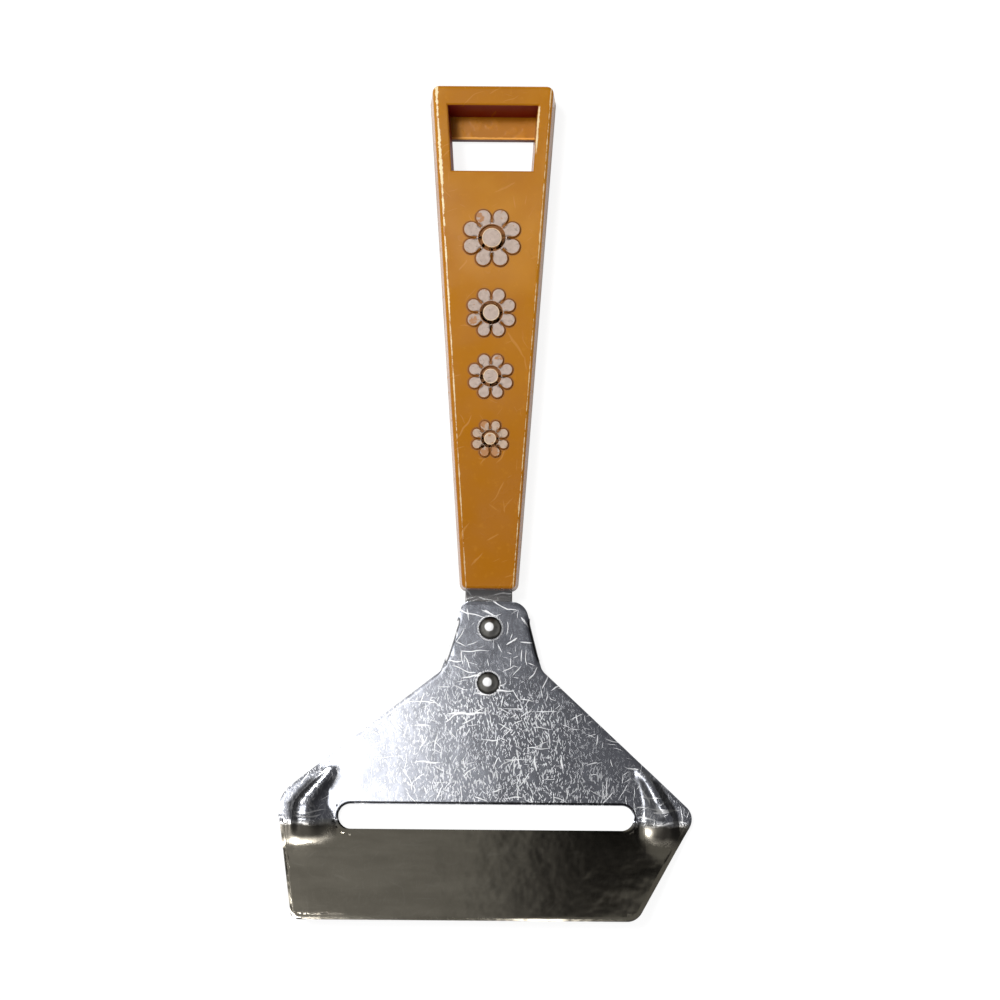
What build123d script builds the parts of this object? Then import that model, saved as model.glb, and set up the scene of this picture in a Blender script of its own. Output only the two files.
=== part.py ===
"""A cheese slicer: a stamped steel head on a riveted tang, in a moulded two-shell handle.

It lies on its back. The origin is in the middle of the handle's flat back, +Y runs to the
hanging end of the handle, +Z points up out of the decorated front, and lengths are in millimetres.
"""

from build123d import *
from math import cos, radians, sin, tan
import os

# Overrun of every cut past the faces that it goes through
OVERRUN = 1.0

# Handle: outline of its back, thickness and walls
HANDLE_LENGTH = 136.0
HANDLE_TOP_WIDTH = 34.8
HANDLE_LOW_WIDTH = 15.6
HANDLE_TOP_THICKNESS = 12.5
HANDLE_LOW_THICKNESS = 10.0
HANDLE_TOP_CORNER = 2.8
HANDLE_LOW_CORNER = 2.2
WALL_DRAFT = 5.0
FRONT_EDGE_RADIUS = 1.0
BACK_EDGE_RADIUS = 0.35
SIDE_WALL = 2.0
FRONT_WALL = 2.2
RIB_WALL = 1.2
RIB_COUNT = 5

# Back cover: it sits in a rebate of the front shell
COVER_THICKNESS = 2.6
COVER_RIM = 1.1
COVER_GAP = 0.1

# Hanging window: sides of its mouth from the handle's outline, and the rail that a hook catches
WINDOW_TOP_SIDE = 4.85
WINDOW_LOW_SIDE = 4.75
WINDOW_HEIGHT = 17.8
WINDOW_BAR = 6.3
WINDOW_WALL = 1.9
WINDOW_EDGE = 0.35
WINDOW_DRAFT = 2.6
RAIL_HEIGHT = 6.15

# Locating posts of the back cover, and the shell's sockets for them
POST_RADIUS = 1.5
POST_REACH = 3.0
POST_EDGE_GAP = 8.0
POST_SPACING = 40.0
POST_CLEARANCE = 0.15
SOCKET_WALL = 1.6
PAD_RADIUS = 3.4
SILL_LENGTH = 6.0

# Tang
TANG_WIDTH = 12.5
TANG_THICKNESS = 1.5
TANG_INSIDE_LENGTH = 62.0
TANG_BEND_GAP = 1.0
TANG_TAIL = 4.6
TANG_BEND_RADIUS = 4.0
TANG_SLOT_CLEARANCE = 0.15
TANG_EDGE_RADIUS = 0.35
TANG_CORNER = 2.5

# Head plate: sheet, slopes and the fold that lies on the table
SHEET = 1.0
HEAD_SLOPE = 4.8
FAR_RISE = 20.0
FOLD_RADIUS = 2.2
HANDLE_TO_NECK = 2.6
NECK_TO_FOLD = 57.9
FOLD_TO_FAR_EDGE = 25.1

# Head plate: plan outline, left and right of the handle's axis
NECK_TOP_LEFT = 6.8
NECK_TOP_RIGHT = 9.5
NECK_LENGTH_LEFT = 18.4
NECK_LENGTH_RIGHT = 18.1
NECK_ROOT_LEFT = 12.5
NECK_ROOT_RIGHT = 14.2
HEAD_WIDTH = 111.85
HEAD_SIDE_SHIFT = 0.325
SHOULDER_DROP_LEFT = 52.2
SHOULDER_DROP_RIGHT = 56.5
FAR_CUT_LEFT = 5.7
FAR_CUT_RIGHT = 16.4
NECK_TOP_RADIUS_LEFT = 2.4
NECK_TOP_RADIUS_RIGHT = 4.4
NECK_ROOT_RADIUS = 4.0
SHOULDER_RADIUS_LEFT = 9.0
SHOULDER_RADIUS_RIGHT = 4.4
FAR_RADIUS_LEFT = 2.2
FAR_RADIUS_RIGHT = 4.5

# Neck flanges, turned down along both sides of the neck
FLANGE_DROP = 2.2
FLANGE_START = 4.6
FLANGE_END = 16.2

# Slicing slot, with the cutting edge ground on the underside of its far side
SLOT_END_BAR = 16.575
SLOT_HEIGHT = 6.8
SLOT_TO_FOLD = 0.7
SLOT_SIDE_SHIFT = 0.25
GRIND_WIDTH = 1.6
GRIND_LAND = 0.35

# Pressed darts that stiffen the fold at both slot ends
DART_NEAR_TO_SLOT = 1.95
DART_NEAR_TO_FOLD = 11.6
DART_FAR_TO_SLOT = 8.95
DART_FAR_TO_FOLD = 0.4
DART_NEAR_RADIUS = 1.3
DART_FAR_RADIUS = 3.0
DART_NEAR_RISE = 0.25
DART_FAR_RISE = 2.2

# Rivets: the upper one sits a little to the right of the axis
RIVET_TO_HANDLE = 9.6
RIVET_SPACING = 14.6
UPPER_RIVET_SIDE = 0.45
RIVET_SHANK_RADIUS = 1.75
RIVET_HEAD_RADIUS = 3.0
RIVET_HEAD_HEIGHT = 1.7
RIVET_TAIL_RADIUS = 2.6
RIVET_TAIL_HEIGHT = 0.7
RIVET_NAMES = ("rivet_upper", "rivet_lower")

# Daisies: outer radius and distance from the handle's top end, largest first
DAISY_RADII = (8.1, 6.88, 6.3, 5.2)
DAISY_TO_TOP = (42.2, 62.2, 79.1, 95.7)
DAISY_NAMES = ("daisy_film_1", "daisy_film_2", "daisy_film_3", "daisy_film_4")
DAISY_RELIEF = 0.6
FILM_THICKNESS = 0.08
FILM_SHOULDER = 0.3
FILM_GROOVE_GAP = 0.1
PETAL_COUNT = 8
LOBE_CENTRE_SHARE = 0.732
LOBE_RADIUS_SHARE = 0.268
PETAL_BASE_SHARE = 0.37
RING_OUTER_SHARE = 0.53
RING_INNER_SHARE = 0.427
DISC_SHARE = 0.35

# Handle ends and the slope of its front
TOP_END = HANDLE_LENGTH / 2
LOW_END = -HANDLE_LENGTH / 2
FRONT_SLOPE = (HANDLE_TOP_THICKNESS - HANDLE_LOW_THICKNESS) / HANDLE_LENGTH
DRAFT_SHARE = tan(radians(WALL_DRAFT))

# Head plate stations along and across the axis, and the height of the fold's corner in mid-sheet
NECK_TOP = LOW_END - HANDLE_TO_NECK
FOLD = NECK_TOP - NECK_TO_FOLD
FAR_EDGE = FOLD - FOLD_TO_FAR_EDGE
SHOULDER_LEFT = HEAD_WIDTH / 2 + HEAD_SIDE_SHIFT
SHOULDER_RIGHT = HEAD_WIDTH / 2 - HEAD_SIDE_SHIFT
FAR_CORNER_LEFT = SHOULDER_LEFT - FAR_CUT_LEFT
FAR_CORNER_RIGHT = SHOULDER_RIGHT - FAR_CUT_RIGHT
SLOT_LENGTH = HEAD_WIDTH - 2 * SLOT_END_BAR
SLOPE = radians(HEAD_SLOPE)
RISE = radians(FAR_RISE)
FOLD_SAG_SHARE = cos((RISE - SLOPE) / 2) / cos((RISE + SLOPE) / 2)
FOLD_HEIGHT = SHEET / 2 - FOLD_RADIUS * (FOLD_SAG_SHARE - 1)

# Tang stations: it bends just outside the handle and then follows the underside of the head plate
BEND = LOW_END - TANG_BEND_GAP
STACK = (SHEET + TANG_THICKNESS) / 2
TANG_HEIGHT = FOLD_HEIGHT + (BEND - FOLD) * tan(SLOPE) - STACK / cos(SLOPE)
TANG_TOP = TANG_HEIGHT + TANG_THICKNESS / 2
TANG_BOTTOM = TANG_HEIGHT - TANG_THICKNESS / 2
TANG_INNER_END = LOW_END + TANG_INSIDE_LENGTH
LAST_RIVET = LOW_END - RIVET_TO_HANDLE - RIVET_SPACING
POST_PLACES = [TANG_INNER_END - POST_EDGE_GAP, TANG_INNER_END - POST_EDGE_GAP - POST_SPACING]

# Window stations
WINDOW_TOP = TOP_END - WINDOW_BAR
WINDOW_LOW = WINDOW_TOP - WINDOW_HEIGHT


def front_height(y):
    """Height of the handle's front face at a place along the axis."""
    return (HANDLE_TOP_THICKNESS + HANDLE_LOW_THICKNESS) / 2 + FRONT_SLOPE * y


def front_plane(y, lift):
    """Plane on the handle's front face at y, lifted off the face by lift."""
    plane = Plane(origin=(0, y, front_height(y)), x_dir=(1, 0, 0), z_dir=(0, -FRONT_SLOPE, 1))
    return plane.offset(lift)


def sheet_plane(x, y):
    """Plane on the top face of the near-handle plate at x, y."""
    height = FOLD_HEIGHT + (y - FOLD) * tan(SLOPE) + SHEET / 2 / cos(SLOPE)
    return Plane(origin=(x, y, height), x_dir=(1, 0, 0), z_dir=(0, -sin(SLOPE), cos(SLOPE)))


def handle_width(y):
    """Width of the handle's back outline at a place along the axis."""
    share = (y - LOW_END) / HANDLE_LENGTH
    return HANDLE_LOW_WIDTH + (HANDLE_TOP_WIDTH - HANDLE_LOW_WIDTH) * share


def flared_corners(low, top, low_width, top_width):
    """Corners of a straight flared outline that is symmetric about the axis."""
    return [
        (-low_width / 2, low),
        (low_width / 2, low),
        (top_width / 2, top),
        (-top_width / 2, top),
    ]


def handle_sketch(plane, inset):
    """The handle's outline on a plane, drawn in by inset on all sides."""
    low, top = LOW_END + inset, TOP_END - inset
    low_radius, top_radius = HANDLE_LOW_CORNER - inset / 2, HANDLE_TOP_CORNER - inset / 2
    with BuildSketch(plane) as outline:
        with BuildLine():
            FilletPolyline(
                *flared_corners(low, top, handle_width(low) - 2 * inset, handle_width(top) - 2 * inset),
                radius=[low_radius, low_radius, top_radius, top_radius],
                close=True,
            )
        make_face()
    return outline.sketch


def daisy_sketch(radius, shoulder, gap):
    """Petal ring and centre disc of one daisy.

    The petals are drawn in by shoulder, and ring and disc by gap on both sides of their groove.
    """
    with BuildSketch() as petal:
        with Locations((radius * LOBE_CENTRE_SHARE, 0)):
            Circle(radius * LOBE_RADIUS_SHARE - shoulder)
        with Locations((radius * RING_INNER_SHARE, 0)):
            Rectangle(
                radius * (RING_OUTER_SHARE - RING_INNER_SHARE),
                radius * PETAL_BASE_SHARE - 2 * shoulder,
                align=(Align.MIN, Align.CENTER),
            )
        make_hull()
    with BuildSketch() as daisy:
        with PolarLocations(0, PETAL_COUNT, start_angle=180 / PETAL_COUNT):
            add(petal.sketch)
        Circle(radius * RING_OUTER_SHARE - shoulder)
        Circle(radius * RING_INNER_SHARE + gap, mode=Mode.SUBTRACT)
        Circle(radius * DISC_SHARE - gap)
    return daisy.sketch


# Solid blank of the handle: drafted walls, sloping front and rounded front edges
with BuildPart() as handle_blank:
    add(handle_sketch(Plane.XY, 0))
    extrude(amount=HANDLE_TOP_THICKNESS + OVERRUN, taper=WALL_DRAFT)
    split(bisect_by=front_plane(0, 0), keep=Keep.BOTTOM)
    fillet(handle_blank.faces().sort_by(Axis.Z)[-1].edges(), radius=FRONT_EDGE_RADIUS)
    fillet(handle_blank.faces().sort_by(Axis.Z)[0].edges(), radius=BACK_EDGE_RADIUS)

# Hollow of the front shell below the window, with the cross ribs left standing
CAVITY_LOW = LOW_END + SIDE_WALL
CAVITY_TOP = WINDOW_LOW - WINDOW_WALL - HANDLE_TOP_THICKNESS * DRAFT_SHARE
RIB_PITCH = (CAVITY_TOP - CAVITY_LOW) / (RIB_COUNT + 1)
RIB_PLACES = [CAVITY_LOW + RIB_PITCH * (number + 1) for number in range(RIB_COUNT)]

with BuildPart() as cavity:
    with BuildSketch(Plane.XY.offset(COVER_THICKNESS)):
        with BuildLine():
            low_width = handle_width(CAVITY_LOW) - 2 * SIDE_WALL
            top_width = handle_width(CAVITY_TOP) - 2 * SIDE_WALL
            Polyline(*flared_corners(CAVITY_LOW, CAVITY_TOP, low_width, top_width), close=True)
        make_face()
    extrude(amount=HANDLE_TOP_THICKNESS, taper=WALL_DRAFT)
    split(bisect_by=front_plane(0, -FRONT_WALL), keep=Keep.BOTTOM)
    with BuildSketch(Plane.XY.offset(COVER_THICKNESS)):
        with Locations(*[(0, place) for place in RIB_PLACES]):
            Rectangle(HANDLE_TOP_WIDTH, RIB_WALL)
    extrude(amount=HANDLE_TOP_THICKNESS, mode=Mode.SUBTRACT)

# Window: a drafted pocket from the front down to the handle's back
with BuildPart() as window:
    with BuildSketch(Plane.XY.offset(HANDLE_TOP_THICKNESS)):
        with BuildLine():
            low_width = handle_width(WINDOW_LOW) - 2 * WINDOW_LOW_SIDE
            top_width = handle_width(WINDOW_TOP) - 2 * WINDOW_TOP_SIDE
            Polyline(*flared_corners(WINDOW_LOW, WINDOW_TOP, low_width, top_width), close=True)
        make_face()
    extrude(amount=-HANDLE_TOP_THICKNESS, taper=WINDOW_DRAFT)

# Front shell of the handle
SOCKET_RADIUS = POST_RADIUS + POST_CLEARANCE
WAY_WIDTH = TANG_WIDTH + 2 * TANG_SLOT_CLEARANCE

with BuildPart() as handle_front_shell:
    add(handle_blank.part)
    add(handle_sketch(Plane.XY, COVER_RIM))
    extrude(amount=COVER_THICKNESS, mode=Mode.SUBTRACT)
    add(cavity.part, mode=Mode.SUBTRACT)
    add(window.part, mode=Mode.SUBTRACT)
    front_face = handle_front_shell.faces().filter_by(GeomType.PLANE).sort_by(SortBy.AREA)[-1]
    chamfer(front_face.inner_wires()[0].edges(), length=WINDOW_EDGE)

    # Sockets that take the cover's posts and press on the tang
    for place in POST_PLACES:
        with BuildSketch(Plane.XY.offset(TANG_TOP)):
            with Locations((0, place)):
                Circle(SOCKET_RADIUS + SOCKET_WALL)
        extrude(amount=front_height(place) - FRONT_WALL / 2 - TANG_TOP)
    with BuildSketch(Plane.XY.offset(TANG_TOP)):
        with Locations(*[(0, place) for place in POST_PLACES]):
            Circle(SOCKET_RADIUS)
    extrude(amount=POST_REACH + POST_CLEARANCE, mode=Mode.SUBTRACT)

    # Way of the tang under the ribs, and its slot in the lower end wall
    with BuildSketch(Plane.XY.offset(COVER_THICKNESS)):
        with Locations((0, CAVITY_LOW)):
            Rectangle(
                WAY_WIDTH,
                TANG_INNER_END - CAVITY_LOW + TANG_SLOT_CLEARANCE,
                align=(Align.CENTER, Align.MIN),
            )
    extrude(amount=TANG_TOP - COVER_THICKNESS, mode=Mode.SUBTRACT)
    with BuildSketch(Plane.XY.offset(TANG_BOTTOM - TANG_SLOT_CLEARANCE)):
        with Locations((0, CAVITY_LOW)):
            Rectangle(WAY_WIDTH, 2 * SIDE_WALL + OVERRUN)
    extrude(amount=TANG_THICKNESS + 2 * TANG_SLOT_CLEARANCE, mode=Mode.SUBTRACT)

    # Raised daisies
    for radius, to_top in zip(DAISY_RADII, DAISY_TO_TOP):
        with BuildSketch(front_plane(TOP_END - to_top, -FRONT_WALL / 2)):
            add(daisy_sketch(radius, 0, 0))
        extrude(amount=FRONT_WALL / 2 + DAISY_RELIEF)

# Back cover, with its window hole, pads, sill and posts
RAIL_LOW = WINDOW_TOP - (HANDLE_TOP_THICKNESS - COVER_THICKNESS) * tan(radians(WINDOW_DRAFT)) - RAIL_HEIGHT

with BuildPart() as cover_hole:
    add(window.part)
    split(bisect_by=Plane.XZ.offset(-RAIL_LOW), keep=Keep.TOP)

with BuildPart() as handle_back_cover:
    add(handle_sketch(Plane.XY, COVER_RIM + COVER_GAP))
    extrude(amount=COVER_THICKNESS)
    add(cover_hole.part, mode=Mode.SUBTRACT)
    with BuildSketch(Plane.XY.offset(COVER_THICKNESS)):
        with Locations(*[(0, place) for place in POST_PLACES]):
            Circle(PAD_RADIUS)
        with Locations((0, CAVITY_LOW + TANG_SLOT_CLEARANCE)):
            Rectangle(TANG_WIDTH, SILL_LENGTH, align=(Align.CENTER, Align.MIN))
    extrude(amount=TANG_BOTTOM - COVER_THICKNESS)
    with BuildSketch(Plane.XY.offset(COVER_THICKNESS)):
        with Locations(*[(0, place) for place in POST_PLACES]):
            Circle(POST_RADIUS)
    extrude(amount=TANG_TOP + POST_REACH - COVER_THICKNESS)

# Tang: a flat strip, bent where it leaves the handle
TANG_TAIL_END = LAST_RIVET - TANG_TAIL
RIVET_PLACES = [(UPPER_RIVET_SIDE, LAST_RIVET + RIVET_SPACING), (0, LAST_RIVET)]

with BuildPart() as tang:
    with BuildSketch(Plane.YZ):
        with BuildLine():
            FilletPolyline(
                (TANG_INNER_END + OVERRUN, TANG_HEIGHT),
                (BEND, TANG_HEIGHT),
                (TANG_TAIL_END - OVERRUN, TANG_HEIGHT - (BEND - TANG_TAIL_END + OVERRUN) * tan(SLOPE)),
                radius=TANG_BEND_RADIUS,
            )
        trace(line_width=TANG_THICKNESS)
    extrude(amount=TANG_WIDTH / 2, both=True)
    fillet(tang.edges().filter_by(GeomType.LINE).filter_by(Axis.Y), radius=TANG_EDGE_RADIUS)
    with BuildSketch():
        with Locations((0, TANG_TAIL_END)):
            RectangleRounded(
                TANG_WIDTH,
                TANG_INNER_END - TANG_TAIL_END,
                TANG_CORNER,
                align=(Align.CENTER, Align.MIN),
            )
    extrude(amount=HANDLE_TOP_THICKNESS, mode=Mode.INTERSECT)
    with BuildSketch():
        with Locations(*[(0, place) for place in POST_PLACES]):
            Circle(SOCKET_RADIUS)
    extrude(amount=HANDLE_TOP_THICKNESS, mode=Mode.SUBTRACT)
    for place in RIVET_PLACES:
        with BuildSketch(sheet_plane(*place)):
            Circle(RIVET_SHANK_RADIUS)
        extrude(amount=SHEET + TANG_THICKNESS + OVERRUN, both=True, mode=Mode.SUBTRACT)


def head_outline():
    """Plan outline of the head plate, from the neck's top left corner round to the neck's left root."""
    FilletPolyline(
        (-NECK_TOP_LEFT, NECK_TOP),
        (NECK_TOP_RIGHT, NECK_TOP),
        (NECK_ROOT_RIGHT, NECK_TOP - NECK_LENGTH_RIGHT),
        (SHOULDER_RIGHT, NECK_TOP - SHOULDER_DROP_RIGHT),
        (FAR_CORNER_RIGHT, FAR_EDGE),
        (-FAR_CORNER_LEFT, FAR_EDGE),
        (-SHOULDER_LEFT, NECK_TOP - SHOULDER_DROP_LEFT),
        (-NECK_ROOT_LEFT, NECK_TOP - NECK_LENGTH_LEFT),
        radius=[
            NECK_TOP_RADIUS_LEFT,
            NECK_TOP_RADIUS_RIGHT,
            NECK_ROOT_RADIUS,
            SHOULDER_RADIUS_RIGHT,
            FAR_RADIUS_RIGHT,
            FAR_RADIUS_LEFT,
            SHOULDER_RADIUS_LEFT,
            NECK_ROOT_RADIUS,
        ],
        close=True,
    )


def near_height(y):
    """Height of the middle of the near-handle plate's sheet at a place along the axis."""
    return FOLD_HEIGHT + (y - FOLD) * tan(SLOPE)


def far_height(y):
    """Height of the middle of the far plate's sheet at a place along the axis."""
    return FOLD_HEIGHT + (FOLD - y) * tan(RISE)


# Sheet of the head plate, trimmed to its plan outline, with the slot
SLOT_MIDDLE = FOLD + SLOT_TO_FOLD
CUTTING_EDGE = SLOT_MIDDLE - SLOT_HEIGHT / 2

with BuildPart() as sheet:
    with BuildSketch(Plane.YZ):
        with BuildLine():
            FilletPolyline(
                (NECK_TOP + OVERRUN, near_height(NECK_TOP + OVERRUN)),
                (FOLD, FOLD_HEIGHT),
                (FAR_EDGE - OVERRUN, far_height(FAR_EDGE - OVERRUN)),
                radius=FOLD_RADIUS,
            )
        trace(line_width=SHEET)
    extrude(amount=HEAD_WIDTH, both=True)
    with BuildSketch():
        with BuildLine():
            head_outline()
        make_face()
    extrude(amount=HANDLE_TOP_THICKNESS + FOLD_TO_FAR_EDGE, mode=Mode.INTERSECT)
    with BuildSketch():
        with Locations((-SLOT_SIDE_SHIFT, SLOT_MIDDLE)):
            SlotOverall(SLOT_LENGTH, SLOT_HEIGHT)
    extrude(amount=HANDLE_TOP_THICKNESS, mode=Mode.SUBTRACT)
    with BuildSketch(Plane.YZ.offset(-SLOT_SIDE_SHIFT)):
        with BuildLine():
            grind_end = CUTTING_EDGE - GRIND_WIDTH
            half_sheet = SHEET / 2 / cos(RISE)
            Polyline(
                (grind_end, far_height(grind_end) - half_sheet),
                (CUTTING_EDGE, far_height(CUTTING_EDGE) + half_sheet - GRIND_LAND),
                (CUTTING_EDGE + OVERRUN, far_height(CUTTING_EDGE) + half_sheet - GRIND_LAND),
                (CUTTING_EDGE + OVERRUN, -OVERRUN),
                (grind_end, -OVERRUN),
                close=True,
            )
        make_face()
    extrude(amount=(SLOT_LENGTH - SLOT_HEIGHT) / 2, both=True, mode=Mode.SUBTRACT)

# Flanges that are turned down along both sides of the neck
with BuildPart() as neck_flanges:
    with BuildSketch(Plane.YZ):
        with BuildLine():
            start = NECK_TOP - FLANGE_START
            end = NECK_TOP - FLANGE_END
            drop = SHEET / 2 + FLANGE_DROP
            Polyline(
                (start, near_height(start)),
                (end, near_height(end)),
                (end, near_height(end) - drop),
                (start, near_height(start) - drop),
                close=True,
            )
        make_face()
    extrude(amount=HEAD_WIDTH, both=True)
    with BuildSketch() as rim:
        with BuildLine():
            head_outline()
        make_face()
        offset(rim.faces(), amount=-SHEET, mode=Mode.SUBTRACT)
    extrude(amount=HANDLE_TOP_THICKNESS, mode=Mode.INTERSECT)

# Darts: hollow ridges that run from the near-handle plate over the fold, one at each slot end
DART_NEAR = FOLD + DART_NEAR_TO_FOLD
DART_FAR = FOLD + DART_FAR_TO_FOLD
DART_NEAR_SIDE = SLOT_LENGTH / 2 + DART_NEAR_TO_SLOT
DART_FAR_SIDE = SLOT_LENGTH / 2 + DART_FAR_TO_SLOT
DART_NEAR_CREST = near_height(DART_NEAR) + SHEET / 2 + DART_NEAR_RISE
DART_FAR_CREST = SHEET + DART_FAR_RISE


def dart_body(side, inset):
    """Tapered ridge with round ends on one side of the head, drawn in by inset."""
    near_radius = DART_NEAR_RADIUS - inset
    far_radius = DART_FAR_RADIUS - inset
    near = Vector(side * DART_NEAR_SIDE, DART_NEAR, DART_NEAR_CREST - DART_NEAR_RADIUS)
    far = Vector(side * DART_FAR_SIDE, DART_FAR, DART_FAR_CREST - DART_FAR_RADIUS)
    axis = far - near
    with BuildPart() as body:
        with Locations(near):
            Sphere(near_radius)
        with Locations(far):
            Sphere(far_radius)
        with BuildSketch(Plane(origin=near, z_dir=axis)):
            Circle(near_radius)
        with BuildSketch(Plane(origin=far, z_dir=axis)):
            Circle(far_radius)
        loft()
    return body.part


# Head plate, with all that is formed in it
with BuildPart() as above_sheet:
    with BuildSketch(Plane.YZ):
        with BuildLine():
            Polyline(
                (NECK_TOP, near_height(NECK_TOP)),
                (FOLD, FOLD_HEIGHT),
                (FAR_EDGE, far_height(FAR_EDGE)),
                (FAR_EDGE, far_height(FAR_EDGE) + HANDLE_TOP_THICKNESS),
                (NECK_TOP, far_height(FAR_EDGE) + HANDLE_TOP_THICKNESS),
                close=True,
            )
        make_face()
    extrude(amount=HEAD_WIDTH, both=True)

with BuildPart() as dart_shells:
    for side in (-1, 1):
        add(dart_body(side, 0))
    add(above_sheet.part, mode=Mode.INTERSECT)

with BuildPart() as head_plate:
    add(sheet.part)
    add(neck_flanges.part)
    add(dart_shells.part)
    for side in (-1, 1):
        add(dart_body(side, SHEET), mode=Mode.SUBTRACT)
    for place in RIVET_PLACES:
        with BuildSketch(sheet_plane(*place)):
            Circle(RIVET_SHANK_RADIUS)
        extrude(amount=SHEET + OVERRUN, both=True, mode=Mode.SUBTRACT)


def rivet(place):
    """Rivet with a domed head on the head plate and a flat tail under the tang."""
    seat = sheet_plane(*place)
    stack = SHEET + TANG_THICKNESS
    with BuildPart() as body:
        with BuildSketch(Plane(origin=seat.origin, x_dir=seat.x_dir, z_dir=-seat.y_dir)):
            with BuildLine():
                Polyline(
                    (0, RIVET_HEAD_HEIGHT),
                    (0, -stack - RIVET_TAIL_HEIGHT),
                    (RIVET_TAIL_RADIUS - RIVET_TAIL_HEIGHT / 2, -stack - RIVET_TAIL_HEIGHT),
                    (RIVET_TAIL_RADIUS, -stack),
                    (RIVET_SHANK_RADIUS, -stack),
                    (RIVET_SHANK_RADIUS, 0),
                    (RIVET_HEAD_RADIUS, 0),
                )
                TangentArc((0, RIVET_HEAD_HEIGHT), (RIVET_HEAD_RADIUS, 0), tangent=(1, 0))
            make_face()
        revolve(axis=Axis(seat.origin, seat.z_dir))
    return body


def film(radius, to_top):
    """Stamped film on the raised petals and centre disc of one daisy."""
    with BuildPart() as coat:
        with BuildSketch(front_plane(TOP_END - to_top, DAISY_RELIEF)):
            add(daisy_sketch(radius, FILM_SHOULDER, FILM_GROOVE_GAP))
        extrude(amount=FILM_THICKNESS)
    return coat


# Finished pieces
pieces = {
    "handle_front_shell": handle_front_shell,
    "handle_back_cover": handle_back_cover,
    "tang": tang,
    "head_plate": head_plate,
}
for name, place in zip(RIVET_NAMES, RIVET_PLACES):
    pieces[name] = rivet(place)
for name, radius, to_top in zip(DAISY_NAMES, DAISY_RADII, DAISY_TO_TOP):
    pieces[name] = film(radius, to_top)

os.makedirs("parts", exist_ok=True)
for name, piece in pieces.items():
    piece.part.label = name
    export_step(piece.part, f"parts/{name}.step")
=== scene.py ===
"""Looks of a cheese slicer: worn orange handle with stamped daisies, and a scratched steel head.

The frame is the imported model. +Y runs to the hanging end of the handle and +Z points up out of its
decorated front. Sizes and places are in millimetres, and become metres where a mesh is made.
"""

import logging
import math
from collections.abc import Iterator
from contextlib import contextmanager
from dataclasses import dataclass, field
from enum import Enum
from functools import reduce
from operator import and_, or_

import bpy
from mathutils import Matrix, Vector

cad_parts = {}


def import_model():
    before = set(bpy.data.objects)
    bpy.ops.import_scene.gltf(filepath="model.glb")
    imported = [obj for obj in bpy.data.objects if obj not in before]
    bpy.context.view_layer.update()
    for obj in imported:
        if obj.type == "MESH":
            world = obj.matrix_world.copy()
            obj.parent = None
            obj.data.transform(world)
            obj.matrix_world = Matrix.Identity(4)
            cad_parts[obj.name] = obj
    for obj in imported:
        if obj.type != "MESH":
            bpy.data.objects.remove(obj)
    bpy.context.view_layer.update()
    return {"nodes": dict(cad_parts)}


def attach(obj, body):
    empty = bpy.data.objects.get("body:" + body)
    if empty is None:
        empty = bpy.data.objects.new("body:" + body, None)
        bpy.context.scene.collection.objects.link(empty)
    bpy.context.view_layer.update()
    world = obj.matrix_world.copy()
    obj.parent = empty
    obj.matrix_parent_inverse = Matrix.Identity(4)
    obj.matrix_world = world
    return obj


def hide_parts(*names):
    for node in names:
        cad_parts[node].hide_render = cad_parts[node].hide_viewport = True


LOG = logging.getLogger("cheese_slicer")
MM = 0.001
MERGE_GAP = 0.002

Flat = tuple[float, float]
Point = tuple[float, float, float]
Colour = tuple[float, float, float, float]
GridRun = tuple[float, float, int]
Piece = bpy.types.Object
Tree = bpy.types.NodeTree


class Slot(Enum):
    """Names of the record's material slots."""

    PLASTIC = "handle_plastic"
    STEEL = "steel"
    FILM = "daisy_film"


# Colours and node trees


def paint(code: str) -> Colour:
    """Turns a screen colour into a linear one.

    Args:
        code: six hex digits, as read from a colour chart.

    Returns:
        Linear red, green, blue and an alpha of one.
    """
    channels = [int(code[i:i + 2], 16) / 255 for i in (0, 2, 4)]
    linear = [c / 12.92 if c <= 0.04045 else ((c + 0.055) / 1.055) ** 2.4 for c in channels]
    return (*linear, 1.0)


def grey(level: float, warmth: float = 0.0) -> Colour:
    """Linear grey of a level, with its blue lowered by the warmth."""
    return (level, level, level - warmth, 1.0)


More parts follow.
